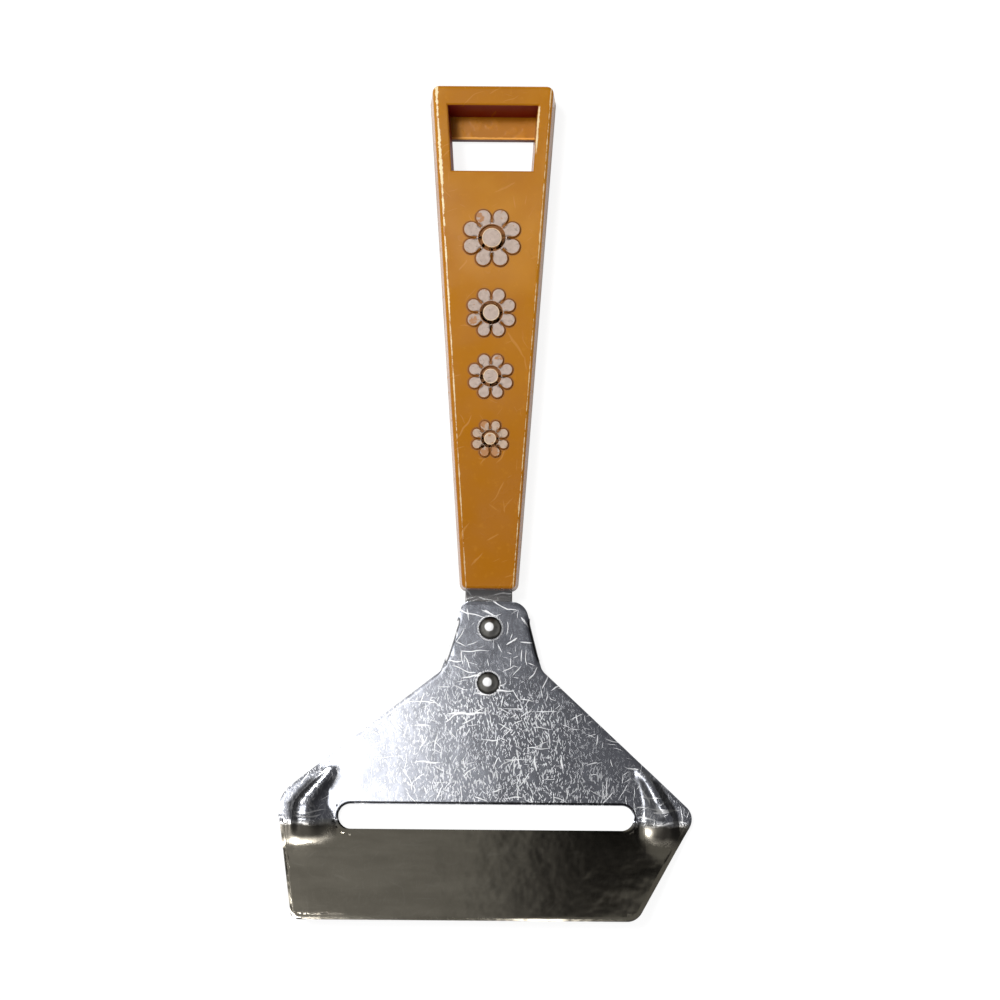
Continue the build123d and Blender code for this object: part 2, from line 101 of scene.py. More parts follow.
class Flow:
    """Value that runs through a node tree. Sums and products of such values add math nodes."""

    def __init__(self, sketch: "NodeSketch", socket: bpy.types.NodeSocket) -> None:
        """Keeps the sketch, and the socket that gives the value."""
        self.sketch = sketch
        self.socket = socket

    def math(self, operation: str, *values: object) -> "Flow":
        """Result of a math node whose first value is this one."""
        return self.sketch.math(operation, self, *values)

    def __add__(self, other: object) -> "Flow":
        """Sum of both."""
        return self.math("ADD", other)

    def __sub__(self, other: object) -> "Flow":
        """Difference of both."""
        return self.math("SUBTRACT", other)

    def __rsub__(self, other: float) -> "Flow":
        """Difference when a plain number comes first."""
        return self.sketch.math("SUBTRACT", other, self)

    def __mul__(self, other: object) -> "Flow":
        """Product of both."""
        return self.math("MULTIPLY", other)

    def __truediv__(self, other: object) -> "Flow":
        """Quotient of both."""
        return self.math("DIVIDE", other)

    def __or__(self, other: object) -> "Flow":
        """The larger of both, which joins two masks."""
        return self.math("MAXIMUM", other)

    def __and__(self, other: object) -> "Flow":
        """The smaller of both."""
        return self.math("MINIMUM", other)

    def __abs__(self) -> "Flow":
        """The value without its sign."""
        return self.math("ABSOLUTE")

    def hypot(self, other: "Flow") -> "Flow":
        """Length of the diagonal over both."""
        return (self * self + other * other).math("SQRT")

    def ramp(self, low: object, high: object, out_low: float = 0.0, out_high: float = 1.0) -> "Flow":
        """Maps the value from one range to another, with eased ends.

        Args:
            low: value that gives out_low.
            high: value that gives out_high.
            out_low: result at low.
            out_high: result at high.

        Returns:
            The mapped value.
        """
        return self.sketch.out("MapRange", {0: self, 1: low, 2: high, 3: out_low, 4: out_high},
                               interpolation_type="SMOOTHSTEP")

    def band(self, rise: Flat, fall: Flat) -> "Flow":
        """Mask that rises over one range of the value and falls over another."""
        return self.ramp(*rise) * self.ramp(*fall)


class NodeSketch:
    """Places and joins the nodes of one material, world or group."""

    def __init__(self, tree: Tree) -> None:
        """Starts on a tree, which is emptied."""
        self.tree = tree
        tree.nodes.clear()

    def node(self, kind: str, inputs: dict, **settings: object) -> bpy.types.Node:
        """Adds a node.

        Args:
            kind: type name after the ShaderNode or Node prefix.
            inputs: plain values or values of the tree, by input name or number.
            settings: properties of the node.

        Returns:
            The new node.
        """
        prefix = "Node" if kind.startswith("Group") and kind != "Group" else "ShaderNode"
        made = self.tree.nodes.new(prefix + kind)
        for name, value in settings.items():
            setattr(made, name, value)
        for name, value in inputs.items():
            if isinstance(value, Flow):
                self.tree.links.new(value.socket, made.inputs[name])
            else:
                made.inputs[name].default_value = value
        return made

    def out(self, kind: str, inputs: dict, which: int | str = 0, **settings: object) -> Flow:
        """Adds a node and gives one of its outputs."""
        return Flow(self, self.node(kind, inputs, **settings).outputs[which])

    def math(self, operation: str, *values: object) -> Flow:
        """Adds a math node."""
        return self.out("Math", dict(enumerate(values)), operation=operation)

    def vector(self, operation: str, *values: object, which: int | str = 0) -> Flow:
        """Adds a vector math node and gives one of its outputs."""
        return self.out("VectorMath", dict(enumerate(values)), which, operation=operation)

    def mix(self, share: object, first: object, second: object) -> Flow:
        """Mixes two colours, with a share of the second one."""
        return self.out("Mix", {0: share, 6: first, 7: second}, 2, data_type="RGBA")

    def coats(self, base: str, *coats: tuple[Flow, float, object]) -> Flow:
        """Lays coats of colour over a base.

        Args:
            base: screen colour of the base.
            coats: mask, greatest share and colour of each coat, from the lowest.

        Returns:
            The finished colour.
        """
        colour = paint(base)
        for mask, share, coat in coats:
            colour = self.mix(mask * share, colour, paint(coat) if isinstance(coat, str) else coat)
        return colour

    def noise(self, vector: Flow, scale: object, detail: float = 2.0, roughness: float = 0.5,
              which: str = "Fac") -> Flow:
        """Adds a noise texture and gives one of its outputs."""
        return self.out("TexNoise", {"Vector": vector, "Scale": scale, "Detail": detail,
                                     "Roughness": roughness}, which)

    def axes(self, vector: Flow, unit: float = 1.0) -> tuple[Flow, ...]:
        """Splits a vector into its three parts, counted in a unit."""
        return tuple(Flow(self, part) / unit for part in self.node("SeparateXYZ", {0: vector}).outputs)

    def away(self, place: Flow, across: float, along: float) -> Flow:
        """Distance in plan from a place on the object, in millimetres."""
        flat = self.vector("MULTIPLY", place, (1.0, 1.0, 0.0))
        return self.vector("DISTANCE", flat, (across * MM, along * MM, 0.0), which="Value") / MM

    def relief(self, height: Flow, distance: float, strength: float) -> Flow:
        """Normal of a surface with fine heights."""
        return self.out("Bump", {"Height": height, "Distance": distance, "Strength": strength})

    def group(self, tree: Tree, place: Flow, **inputs: object) -> Flow:
        """Places a node group with its own values and gives its output."""
        return self.out("Group", {"Vector": place, **inputs}, node_tree=tree)


def new_group(name: str, result: str, **numbers: float) -> tuple[NodeSketch, dict[str, Flow]]:
    """Starts a shader node group that reads a vector and named numbers.

    Args:
        name: name of the group.
        result: name of its output.
        numbers: its other inputs, with their values when nothing is joined to them.

    Returns:
        The sketch to draw it with, and its inputs by name.
    """
    tree = bpy.data.node_groups.new(name, "ShaderNodeTree")
    tree.interface.new_socket(name="Vector", in_out="INPUT", socket_type="NodeSocketVector")
    for key, value in numbers.items():
        made = tree.interface.new_socket(name=key, in_out="INPUT", socket_type="NodeSocketFloat")
        made.default_value = value
    tree.interface.new_socket(name=result, in_out="OUTPUT", socket_type="NodeSocketFloat")
    sketch = NodeSketch(tree)
    given = sketch.node("GroupInput", {}).outputs
    return sketch, {key: Flow(sketch, given[key]) for key in ("Vector", *numbers)}


@dataclass(frozen=True)
class Daisy:
    """Raised daisy of the handle's front, with shares of its radius."""

    radius: float
    along: float
    lobe_centre: float = 0.732
    lobe_radius: float = 0.268
    base_width: float = 0.37
    ring_outer: float = 0.53
    ring_inner: float = 0.427
    disc: float = 0.35


DAISIES = (Daisy(8.1, 25.8), Daisy(6.88, 5.8), Daisy(6.3, -11.1), Daisy(5.2, -27.7))
PETALS = 8


class Effects:
    """Node groups that the finishes share, each built once."""

    def __init__(self) -> None:
        """Builds every group."""
        self.strokes = self.make_strokes()
        self.scratches = self.make_scratches()
        self.clouds = self.make_clouds()
        self.edge_wear_and_highlight = self.make_edge_wear_and_highlight()
        self.petal_gap = self.make_petal_gap()

    def make_strokes(self) -> Tree:
        """Draws thin strokes that all run in about one direction.

        Returns:
            The group, which gives their mask.
        """
        s, given = new_group("fine_strokes", "Mask", Turn=0.0, Spacing=1500.0, Stretch=7.0, Level=0.7,
                             Seed=0.0)
        softness, sway_scale, sway_reach = 0.035, 160.0, (0.003, 0.003, 0.0)
        turned = s.out("VectorRotate", {"Vector": given["Vector"], "Angle": given["Turn"]},
                       rotation_type="Z_AXIS")
        sway = s.vector("SUBTRACT", s.noise(turned, sway_scale, 1.0, which="Color"), (0.5, 0.5, 0.5))
        swayed = s.vector("ADD", turned, s.vector("MULTIPLY", sway, sway_reach))
        along = given["Spacing"] / given["Stretch"]
        scale = s.out("CombineXYZ", {0: along, 1: given["Spacing"], 2: along})
        shift = s.out("CombineXYZ", {axis: given["Seed"] for axis in range(3)})
        grid = s.vector("ADD", s.vector("MULTIPLY", swayed, scale), shift)
        mask = s.noise(grid, 1.0, 0.0).ramp(given["Level"], given["Level"] + softness)
        s.node("GroupOutput", {"Mask": mask})
        return s.tree

    def make_scratches(self) -> Tree:
        """Draws fine scratches in all directions, from several layers of strokes.

        Returns:
            The group, which gives their mask.
        """
        s, given = new_group("random_scratches", "Mask", Spacing=1500.0, Stretch=7.0, Level=0.7, Seed=0.0)
        turns_and_spacings = ((0.35, 1.0), (1.0, 0.8), (1.55, 1.25), (2.15, 0.9), (2.7, 1.1), (3.1, 0.75))
        first_seed, seed_step = 1.7, 7.3
        layers = [s.group(self.strokes, given["Vector"], Turn=turn, Spacing=given["Spacing"] * share,
                          Stretch=given["Stretch"], Level=given["Level"],
                          Seed=given["Seed"] + (seed_step * number + first_seed))
                  for number, (turn, share) in enumerate(turns_and_spacings)]
        s.node("GroupOutput", {"Mask": reduce(or_, layers)})
        return s.tree

    def make_clouds(self) -> Tree:
        """Draws soft blotches of a chosen size and contrast.

        Returns:
            The group, which gives their value from 0 to 1.
        """
        s, given = new_group("soft_clouds", "Value", Scale=100.0, Contrast=1.0)
        middle = 0.5
        swing = (s.noise(given["Vector"], given["Scale"], 4.0, 0.55) - middle) * given["Contrast"]
        value = s.out("Math", {0: swing, 1: middle}, operation="ADD", use_clamp=True)
        s.node("GroupOutput", {"Value": value})
        return s.tree

    def make_edge_wear_and_highlight(self) -> Tree:
        """Draws a ragged band along an edge, given the distance from it in millimetres.

        Returns:
            The group, which gives the band's mask.
        """
        s, given = new_group("edge_wear_and_highlight", "Mask", Distance=0.0, Width=0.5, Raggedness=1.0)
        swing, narrowest, core = 3.0, 0.02, 0.45
        ragged = s.noise(given["Vector"], 900.0, 4.0, 0.65) - 0.5
        slow = s.noise(given["Vector"], 120.0) - 0.45
        width = given["Width"] * (((ragged + slow) * given["Raggedness"] * swing + 1.0) | narrowest)
        s.node("GroupOutput", {"Mask": abs(given["Distance"]).ramp(width, width * core)})
        return s.tree

    def make_petal_gap(self) -> Tree:
        """Measures the distance in millimetres from a daisy's outline, below zero inside it.

        Returns:
            The group, which gives the distance.
        """
        s, given = new_group("petal_gap", "Distance", Along=0.0, Radius=8.0)
        petal_turn = 2 * math.pi / PETALS
        x, y, _ = s.axes(given["Vector"], MM)
        away = y - given["Along"]
        reach = x.hypot(away)
        turn = ((away.math("ARCTAN2", x) / petal_turn).math("FRACT") - 0.5) * petal_turn
        out = reach * turn.math("COSINE") - given["Radius"] * Daisy.lobe_centre
        lobe = out.hypot(reach * turn.math("SINE")) - given["Radius"] * Daisy.lobe_radius
        ring = reach - given["Radius"] * Daisy.ring_outer
        s.node("GroupOutput", {"Distance": lobe & ring})
        return s.tree


# Finishes


@dataclass(frozen=True)
class Finish:
    """Base of the finishes: a material with one shader."""

    name: str = "finish"

    def material(self, effects: Effects) -> bpy.types.Material:
        """Draws the finish as a material.

        Args:
            effects: the shared node groups.

        Returns:
            The finished material.
        """
        made = bpy.data.materials.new(self.name)
        made.use_nodes = True
        s = NodeSketch(made.node_tree)
        values = self.surface(s, effects, s.out("TexCoord", {}, "Object"))
        s.node("OutputMaterial", {"Surface": s.out("BsdfPrincipled", values)})
        return made

    def surface(self, s: NodeSketch, effects: Effects, place: Flow) -> dict[str, object]:
        """Works out what the shader reads.

        Args:
            s: sketch of the material.
            effects: the shared node groups.
            place: object coordinates in metres.

        Returns:
            Values of the shader, by input name.
        """
        raise NotImplementedError


@dataclass(frozen=True)
class MouldedPlastic(Finish):
    """Glossy ochre-orange moulding, rubbed pale along its front edges, with painted highlight on the left
    edge and the window's right edge, dirt and painted shade round the daisies, and painted shade in the
    window, on the side walls and at the lower end.
    """

    name: str = "orange_moulding"
    body: str = "B67405"
    deep: str = "A06002"
    pale_orange: str = "CE8E28"
    worn_and_highlight: str = "FFEEC0"
    dirt_and_shade: str = "7A4610"
    pocket_shade: str = "7C0400"
    side_wall_shade: str = "80591E"
    low_end_shade: str = "6A2E04"
    roughness: float = 0.15
    front_middle: float = 11.25
    front_slope: float = 0.01838
    edge_start: float = 10.62
    edge_flare: float = 0.069
    right_edge_shift: float = 0.35
    wall_shift: float = 1.65
    window: Flat = (43.9, 61.7)
    window_side: float = 10.95
    window_flare: float = 0.0646
    mouth_highlight_shift: float = 0.3
    mouth_highlight_start: Flat = (48.0, 50.5)
    end_wall: Flat = (-67.1, -67.35)
    end_wall_top: Flat = (9.9, 9.5)
    front_start: Flat = (8.5, 9.8)

    def window_edge(self, y: Flow) -> Flow:
        """Distance of the window's side from the axis."""
        return (y - self.window[0]) * self.window_flare + self.window_side

    def wall_masks(self, x: Flow, y: Flow, z: Flow) -> tuple[Flow, Flow]:
        """Masks of the painted shade on the window's top and left walls and on the handle's lower end.

        Args:
            x: sideways place.
            y: place along the axis.
            z: height.

        Returns:
            Mask of the painted shade on the window's top and left walls, and mask of the painted shade on the
            lower end face.
        """
        low, top = self.window
        below = (y * self.front_slope + self.front_middle - z).ramp(0.15, 0.6)
        side = self.window_edge(y)
        inside = abs(x).ramp(side + 0.9, side + 0.6)
        within = y.band((low - 0.1, low + 0.3), (top + 0.7, top + 0.4))
        walls = y.ramp(top - 1.0, top - 0.8) | (x + side).ramp(1.6, 1.3)
        return walls * below * within * inside, y.ramp(*self.end_wall) * z.ramp(*self.end_wall_top)

    def edge_wear_and_highlight(self, s: NodeSketch, effects: Effects, place: Flow, x: Flow, y: Flow) -> Flow:
        """Mask of the pale lines along the handle's long edges and the window's right edge: rubbed wear, with
        painted highlight on the left edge and the window's right edge.

        Args:
            s: sketch of the material.
            effects: the shared node groups.
            place: object coordinates in metres.
            x: sideways place.
            y: place along the axis.

        Returns:
            The mask.
        """
        flare = y * self.edge_flare + self.edge_start
        left = s.group(effects.edge_wear_and_highlight, place, Distance=x + flare, Raggedness=2.0,
                       Width=y.ramp(-10.0, 55.0, 0.1, 0.27))
        right = s.group(effects.edge_wear_and_highlight, place, Distance=x - (flare + self.right_edge_shift),
                        Raggedness=2.2, Width=0.12)
        mouth_highlight = s.group(effects.edge_wear_and_highlight, place, Raggedness=1.2, Width=0.22,
                        Distance=x - (self.window_edge(y) + self.mouth_highlight_shift))
        top = self.window[1]
        mouth_highlight = mouth_highlight * y.band(self.mouth_highlight_start, (top, top - 0.8))
        return left * y.ramp(-66.0, 20.0, 0.45, 0.95) | right * 0.6 | mouth_highlight * 0.8

    def surface(self, s: NodeSketch, effects: Effects, place: Flow) -> dict[str, object]:
        """Works out what the shader reads.

        Args:
            s: sketch of the material.
            effects: the shared node groups.
            place: object coordinates in metres.

        Returns:
            Values of the shader, by input name.
        """
        x, y, z = s.axes(place, MM)
        blotches = s.group(effects.clouds, place, Scale=70.0, Contrast=2.2)
        grain = s.group(effects.clouds, place, Scale=700.0, Contrast=1.8)
        scratches = s.group(effects.scratches, place, Spacing=1300.0, Stretch=12.0, Level=0.8)
        # Paler orange patches towards the hanging end.
        paler_upper_patches = y.ramp(-30.0, 30.0) * s.noise(place, 45.0, 3.0).ramp(0.45, 0.75)
        gap = reduce(and_, [s.group(effects.petal_gap, place, Along=daisy.along, Radius=daisy.radius)
                            for daisy in DAISIES])
        on_front = z.ramp(*self.front_start)
        # Brown round the daisies' raised edges and in their grooves: dirt, and painted shade of the relief.
        dirt_and_shade_reach = s.noise(place, 900.0, 3.0) * 0.5 + 0.2
        dirt_and_shade = gap.ramp(dirt_and_shade_reach, 0.0) * on_front
        # Painted shade: deep red on the window's top and left walls, dark brown on the handle's lower end.
        shade, end = self.wall_masks(x, y, z)
        # Pale lines on the front edges: rubbed wear, with painted highlight on the left edge and the window's
        # right edge.
        wear = self.edge_wear_and_highlight(s, effects, place, x, y) * on_front * y.ramp(67.2, 66.4)
        # The side walls get a grey-brown colour: painted shade, for the shadowed floor they reflect.
        outside = abs(x) - (y * self.edge_flare + (self.edge_start + self.wall_shift))
        side = outside.ramp(0.0, 0.25) * y.ramp(67.0, 66.5) * z.ramp(11.2, 10.4)
        colour = s.coats(self.body, (blotches, 0.5, self.deep), (y.ramp(10.0, -60.0), 0.6, self.deep),
                         (paler_upper_patches, 0.45, self.pale_orange), (grain.ramp(0.6, 0.9), 0.15, self.pale_orange),
                         (dirt_and_shade, 0.85, self.dirt_and_shade), (shade, 1.0, self.pocket_shade), (end, 1.0, self.low_end_shade),
                         (side, 0.8, self.side_wall_shade), (wear, 1.0, self.worn_and_highlight), (scratches, 0.25, self.pale_orange))
        rough = blotches * 0.14 + self.roughness + (scratches | wear) * 0.2 + (shade | dirt_and_shade) * 0.25
        height = s.noise(place, 55.0, 1.0) * 0.9 + s.noise(place, 1500.0) * 0.012 - scratches * 0.01
        return {"Base Color": colour, "Roughness": rough, "Normal": s.relief(height, 0.0007, 0.55),
                "IOR": 1.45, "Specular IOR Level": side.ramp(0.0, 1.0, 0.3, 0.08)}


@dataclass(frozen=True)
class CoverPlastic(Finish):
    """The same moulding on the back cover, with the rail that shows in the window; the rail's underside
    carries painted shade, and pale streaks on its left part are painted reflection.
    """

    name: str = "cover_moulding"
    body: str = "B06E04"
    patch_and_reflection: str = "CA841C"
    worn_and_highlight: str = "EFA94A"
    under: str = "5A2804"
    rail_low: float = 55.1
    rail_top: float = 2.6
    reflection_streak_scale: Point = (1500.0, 180.0, 180.0)

    def surface(self, s: NodeSketch, effects: Effects, place: Flow) -> dict[str, object]:
        """Works out what the shader reads.

        Args:
            s: sketch of the material.
            effects: the shared node groups.
            place: object coordinates in metres.

        Returns:
            Values of the shader, by input name.
        """
        x, y, z = s.axes(place, MM)
        patches = s.noise(place, 260.0, 3.0, 0.6).ramp(0.46, 0.66)
        # Pale streaks on the rail's left part: painted reflection.
        reflection_streaks = s.noise(s.vector("MULTIPLY", place, self.reflection_streak_scale), 1.0, 1.0).ramp(0.5, 0.72)
        pale = patches * 0.75 | reflection_streaks * x.ramp(-5.5, -9.0)
        rail = y - self.rail_low
        # Pale line along the rail's lower edge: rubbed wear, with painted highlight of the rounded edge.
        edge = s.group(effects.edge_wear_and_highlight, place, Distance=rail - 0.3, Width=0.3, Raggedness=0.5)
        edge = edge * z.ramp(self.rail_top - 0.5, self.rail_top - 0.25)
        # Dark brown on the rail's underside: painted shade.
        under = rail.band((-0.5, -0.2), (0.12, 0.02)) * z.ramp(self.rail_top - 0.3, self.rail_top - 0.6)
        colour = s.coats(self.body, (pale, 0.8, self.patch_and_reflection), (edge, 1.0, self.worn_and_highlight), (under, 1.0, self.under))
        return {"Base Color": colour, "Normal": s.relief(patches, 0.0001, 0.4), "IOR": 1.45,
                "Specular IOR Level": 0.25, "Roughness": pale.ramp(0.0, 1.0, 0.32, 0.5)}


@dataclass(frozen=True)
class StampedFilm(Finish):
    """Grey-white film stamped on the raised petals, rubbed through in places.

    Each spot holds a place across and along the handle, and its radius.
    """

    name: str = "stamped_film"
    coat: str = "BFA99B"
    stain: str = "82705F"
    bare: str = "A86818"
    rubbed: float = 0.1
    hold: float = 0.74
    spots: tuple[Point, ...] = ()

    def surface(self, s: NodeSketch, effects: Effects, place: Flow) -> dict[str, object]:
        """Works out what the shader reads.

        Args:
            s: sketch of the material.
            effects: the shared node groups.
            place: object coordinates in metres.

        Returns:
            Values of the shader, by input name.
        """
        wear = self.rubbed
        for across, along, radius in self.spots:
            wear = s.away(place, across, along).ramp(radius, radius * 0.3, 0.0, 0.2) + wear
        level = self.hold - wear
        bare = s.noise(place, 620.0, 5.0, 0.62).ramp(level, level + 0.06)
        tone = s.group(effects.clouds, place, Scale=1000.0, Contrast=2.6)
        marks = s.group(effects.scratches, place, Spacing=2400.0, Stretch=4.0, Level=0.79)
        colour = s.coats(self.coat, (tone, 0.36, self.stain), (marks, 0.7, self.stain),
                         (bare, 0.85, self.bare))
        return {"Base Color": colour, "Roughness": tone * 0.15 + 0.4,
                "Normal": s.relief(tone, 0.0001, 0.3)}


@dataclass(frozen=True)
class DartGrimeAndShade:
    """Line of one dart's crest in plan, and how far the grime and painted shade beside it reach."""

    side: int
    start: float
    grade: float
    stop: float
    inner: float
    foot: float


@dataclass(frozen=True)
class WornSteel(Finish):
    """Polished stainless sheet: bluish and scratched near the handle, smooth beyond the fold. Its darker warm
    colour beyond the fold is painted reflection, and it carries painted glint, shade and light in places.
    """

    name: str = "scratched_steel"
    body: str = "A6A8AF"
    dull: str = "7F8289"
    mottled: str = "6C6E74"
    far: str = "958F83"
    far_smudge: str = "B3ADA0"
    scratch_glint: str = "FAFAFA"
    pale_ring: str = "F4F4F4"
    grime_and_shade: str = "171513"
    slot_edge_shade: str = "101010"
    rim_line: str = "201E1A"
    shaded_flank: str = "141414"
    lit_flank: str = "FFFFFF"
    polish: float = 0.15
    far_polish: float = 0.1
    fold: float = -128.5
    scratch_share: float = 1.0
    rivets: tuple[Flat, ...] = ((0.45, -77.6), (0.0, -92.2))
    grime_and_shade_start: float = -117.0
    darts: tuple[DartGrimeAndShade, ...] = (DartGrimeAndShade(-1, 43.3, 0.824, 49.3, 6.0, 2.8),
                                    DartGrimeAndShade(1, 42.4, 0.564, 48.4, 4.6, 2.2))
    slot_shift: float = 0.25
    slot_straight: float = 35.95
    slot_middle: float = -127.8
    slot_radius: float = 3.4
    rim_start: float = -78.98
    rim_lean: float = -0.185
    fleck_turns: Point = (1.15, 1.5, 1.9)
    smudge_scale: Point = (60.0, 260.0, 260.0)

    def dart_grime_and_shade(self, s: NodeSketch, place: Flow, x: Flow, y: Flow) -> Flow:
        """Mask of the grime and painted shade beside the darts' crests and below their ends.

        Args:
            s: sketch of the material.
            place: object coordinates in metres.
            x: sideways place.
            y: place along the axis.

        Returns:
            The mask.
        """
        masks = []
        run = self.grime_and_shade_start - y
        ragged = (s.noise(place, 500.0, 3.0) - 0.5) * 1.6
        depth = run + ragged
        for dart in self.darts:
            off = x * dart.side - ((run * dart.grade + dart.start) & dart.stop) + ragged
            # Grime and painted shade in the valleys beside the crest.
            slope = off.band((-dart.inner, -0.45 * dart.inner), (-1.0, -1.4))
            foot = off.band((0.6, 1.0), (dart.foot + 1.8, dart.foot))
            beside = (slope * 0.7 | foot * 0.85) * run.band((-1.0, 1.5), (13.0, 11.5))
            # Grime and painted shade below each dart's end.
            end = off.band((-1.9 * dart.inner, -0.7 * dart.inner), (dart.foot + 6.0, dart.foot + 1.5))
            masks.append(beside | end * depth.band((12.4, 13.2), (18.5, 15.5)) * 0.9)
        return reduce(or_, masks)

    def slot_edge(self, x: Flow, y: Flow) -> Flow:
        """Mask of the painted shade along the slot's upper edge and ends.

        Args:
            x: sideways place.
            y: place along the axis.

        Returns:
            The mask.
        """
        side = (abs(x + self.slot_shift) - self.slot_straight) | 0.0
        rise = y - self.slot_middle
        away = side.hypot(rise) - self.slot_radius
        return away.band((0.06, 0.14), (0.75, 0.5)) * rise.ramp(-1.5, 0.0)

    def surface(self, s: NodeSketch, effects: Effects, place: Flow) -> dict[str, object]:
        """Works out what the shader reads.

        Args:
            s: sketch of the material.
            effects: the shared node groups.
            place: object coordinates in metres.

        Returns:
            Values of the shader, by input name.
        """
        x, y, _ = s.axes(place, MM)
        # Beyond the fold the sheet turns a darker, warmer colour: painted reflection of the dim room, with
        # pale smudges over it.
        beyond = y.ramp(self.fold + 0.5, self.fold - 2.5)
        clouds = s.group(effects.clouds, place, Scale=90.0, Contrast=2.2)
        mottle = s.group(effects.clouds, place, Scale=620.0, Contrast=2.4)
        lines = s.group(effects.scratches, place, Spacing=2000.0, Stretch=14.0, Level=0.775, Seed=0.0)
        flecks = reduce(or_, [s.group(effects.strokes, place, Turn=turn, Spacing=2700.0, Stretch=3.4,
                                      Level=0.685, Seed=11.0 * number)
                              for number, turn in enumerate(self.fleck_turns)])
        density = s.noise(place, 35.0).ramp(0.3, 0.65, 0.3, 1.0) * y.ramp(-84.0, -100.0, 0.25, 1.0)
        # The scratches and flecks are painted near-white and rougher: real marks, with their glint painted
        # in.
        marks = (lines * 0.75 | flecks * density * 0.52) * beyond.ramp(0.0, 1.0, self.scratch_share, 0.04)
        smudge = s.noise(s.vector("MULTIPLY", place, self.smudge_scale), 1.0, 3.0).ramp(0.35, 0.7)
        # A pale ring round each rivet head.
        rings = [s.away(place, *rivet).band((3.0, 3.15), (3.6, 3.3)) for rivet in self.rivets]
        grime_and_shade = self.dart_grime_and_shade(s, place, x, y)
        rim = (y * self.rim_lean + (self.rim_start - x)).ramp(-0.75, -0.55) * y.ramp(-131.0, -133.0)
        # Painted light and shade on the neck's turned-down flanks: the one facing right painted dark, the one
        # facing left painted white and less metallic.
        facing = s.axes(s.out("NewGeometry", {}, "Normal"))[0]
        neck = y.band((-90.5, -88.5), (-72.5, -74.0))
        lit_flank = facing.ramp(-0.3, -0.6) * neck
        colour = s.coats(self.body, (clouds, 0.6, self.dull), (mottle, 0.3, self.mottled),
                         (beyond, 1.0, s.coats(self.far, (smudge, 0.35, self.far_smudge))),
                         (marks, 1.0, self.scratch_glint), *[(ring, 0.75, self.pale_ring) for ring in rings],
                         (grime_and_shade, 1.0, self.grime_and_shade), (self.slot_edge(x, y), 0.94, self.slot_edge_shade),
                         (rim, 0.9, self.rim_line), (facing.ramp(0.3, 0.6) * neck, 1.0, self.shaded_flank),
                         (lit_flank, 1.0, self.lit_flank))
        rough = clouds * beyond.ramp(1.0, 0.0) * 0.08 + (self.polish - 0.02)
        rough = rough * beyond.ramp(0.0, 1.0, 1.0, self.far_polish / self.polish)
        height = s.noise(place, 160.0) * 0.25 - marks * 0.03
        return {"Base Color": colour, "Roughness": rough + marks * 0.22 + grime_and_shade * 0.3,
                "Normal": s.relief(height, 0.0004, 0.5), "Metallic": lit_flank.ramp(0.0, 1.0, 1.0, 0.1)}


@dataclass(frozen=True)
class RivetSteel(Finish):
    """Rivet head: grime and painted shade round the foot, with a painted highlight on its top."""

    across: float = 0.0
    along: float = 0.0
    body: str = "96948F"
    grime_and_shade: str = "26241F"
    # Colour of the painted highlight on the top.
    top: str = "F2F2F2"
    highlight_radius: float = 1.12
    highlight_shift: Flat = (-0.27, 0.38)
    foot: Flat = (1.9, 2.9)

    def surface(self, s: NodeSketch, effects: Effects, place: Flow) -> dict[str, object]:
        """Works out what the shader reads.

        Args:
            s: sketch of the material.
            effects: the shared node groups; not used.
            place: object coordinates in metres.

        Returns:
            Values of the shader, by input name.
        """
        # Painted highlight: a white, less metallic disc on the top, set off to the upper left.
        near = s.away(place, self.across + self.highlight_shift[0], self.along + self.highlight_shift[1])
        spot = (near + s.noise(place, 900.0, 1.0) * 0.3).ramp(self.highlight_radius + 0.32, self.highlight_radius + 0.1)
        # Grime and painted shade darken the head towards its foot.
        grime_and_shade = s.away(place, self.across, self.along).ramp(*self.foot, 0.0, 0.9)
        grime_and_shade = (grime_and_shade + s.noise(place, 1200.0).ramp(0.5, 0.8, 0.0, 0.3)) & 1.0
        return {"Base Color": s.coats(self.body, (grime_and_shade, 1.0, self.grime_and_shade), (spot, 1.0, self.top)),
                "Roughness": spot.ramp(0.0, 1.0, 0.33, 0.5), "Metallic": spot.ramp(0.0, 1.0, 1.0, 0.15)}


# Mesh helpers


def pick(*pieces: Piece) -> None:
    """Makes some pieces the only selected ones, and the first of them active.

    Args:
        pieces: the pieces.
    """
    bpy.ops.object.select_all(action="DESELECT")
    for piece in pieces:
        piece.select_set(True)
    bpy.context.view_layer.objects.active = pieces[0]


@contextmanager
def editing(piece: Piece, mode: str = "VERT", whole: bool = True) -> Iterator[None]:
    """Opens a piece in edit mode for the lines under it.

    Args:
        piece: the piece.
        mode: whether vertices, edges or faces are selected.
        whole: whether all of it or nothing is selected.

    Yields:
        Nothing.
    """
    pick(piece)
    bpy.ops.object.mode_set(mode="EDIT")
    bpy.ops.mesh.select_mode(type=mode)
    bpy.ops.mesh.select_all(action="SELECT" if whole else "DESELECT")
    yield
    bpy.ops.object.mode_set(mode="OBJECT")


@contextmanager
def chosen(piece: Piece, mode: str, numbers: set[int]) -> Iterator[None]:
    """Opens a piece in edit mode with some of its edges or faces selected.

    Args:
        piece: the piece.
        mode: EDGE or FACE.
        numbers: which edges or faces.

    Yields:
        Nothing.
    """
    with editing(piece, mode, whole=False):
        pass
    for part in piece.data.edges if mode == "EDGE" else piece.data.polygons:
        part.select = part.index in numbers
    bpy.ops.object.mode_set(mode="EDIT")
    yield
    bpy.ops.object.mode_set(mode="OBJECT")


def apply_all(piece: Piece) -> None:
    """Applies every modifier of a piece, in order.

    Args:
        piece: the piece.
    """
    pick(piece)
    for modifier in list(piece.modifiers):
        bpy.ops.object.modifier_apply(modifier=modifier.name)


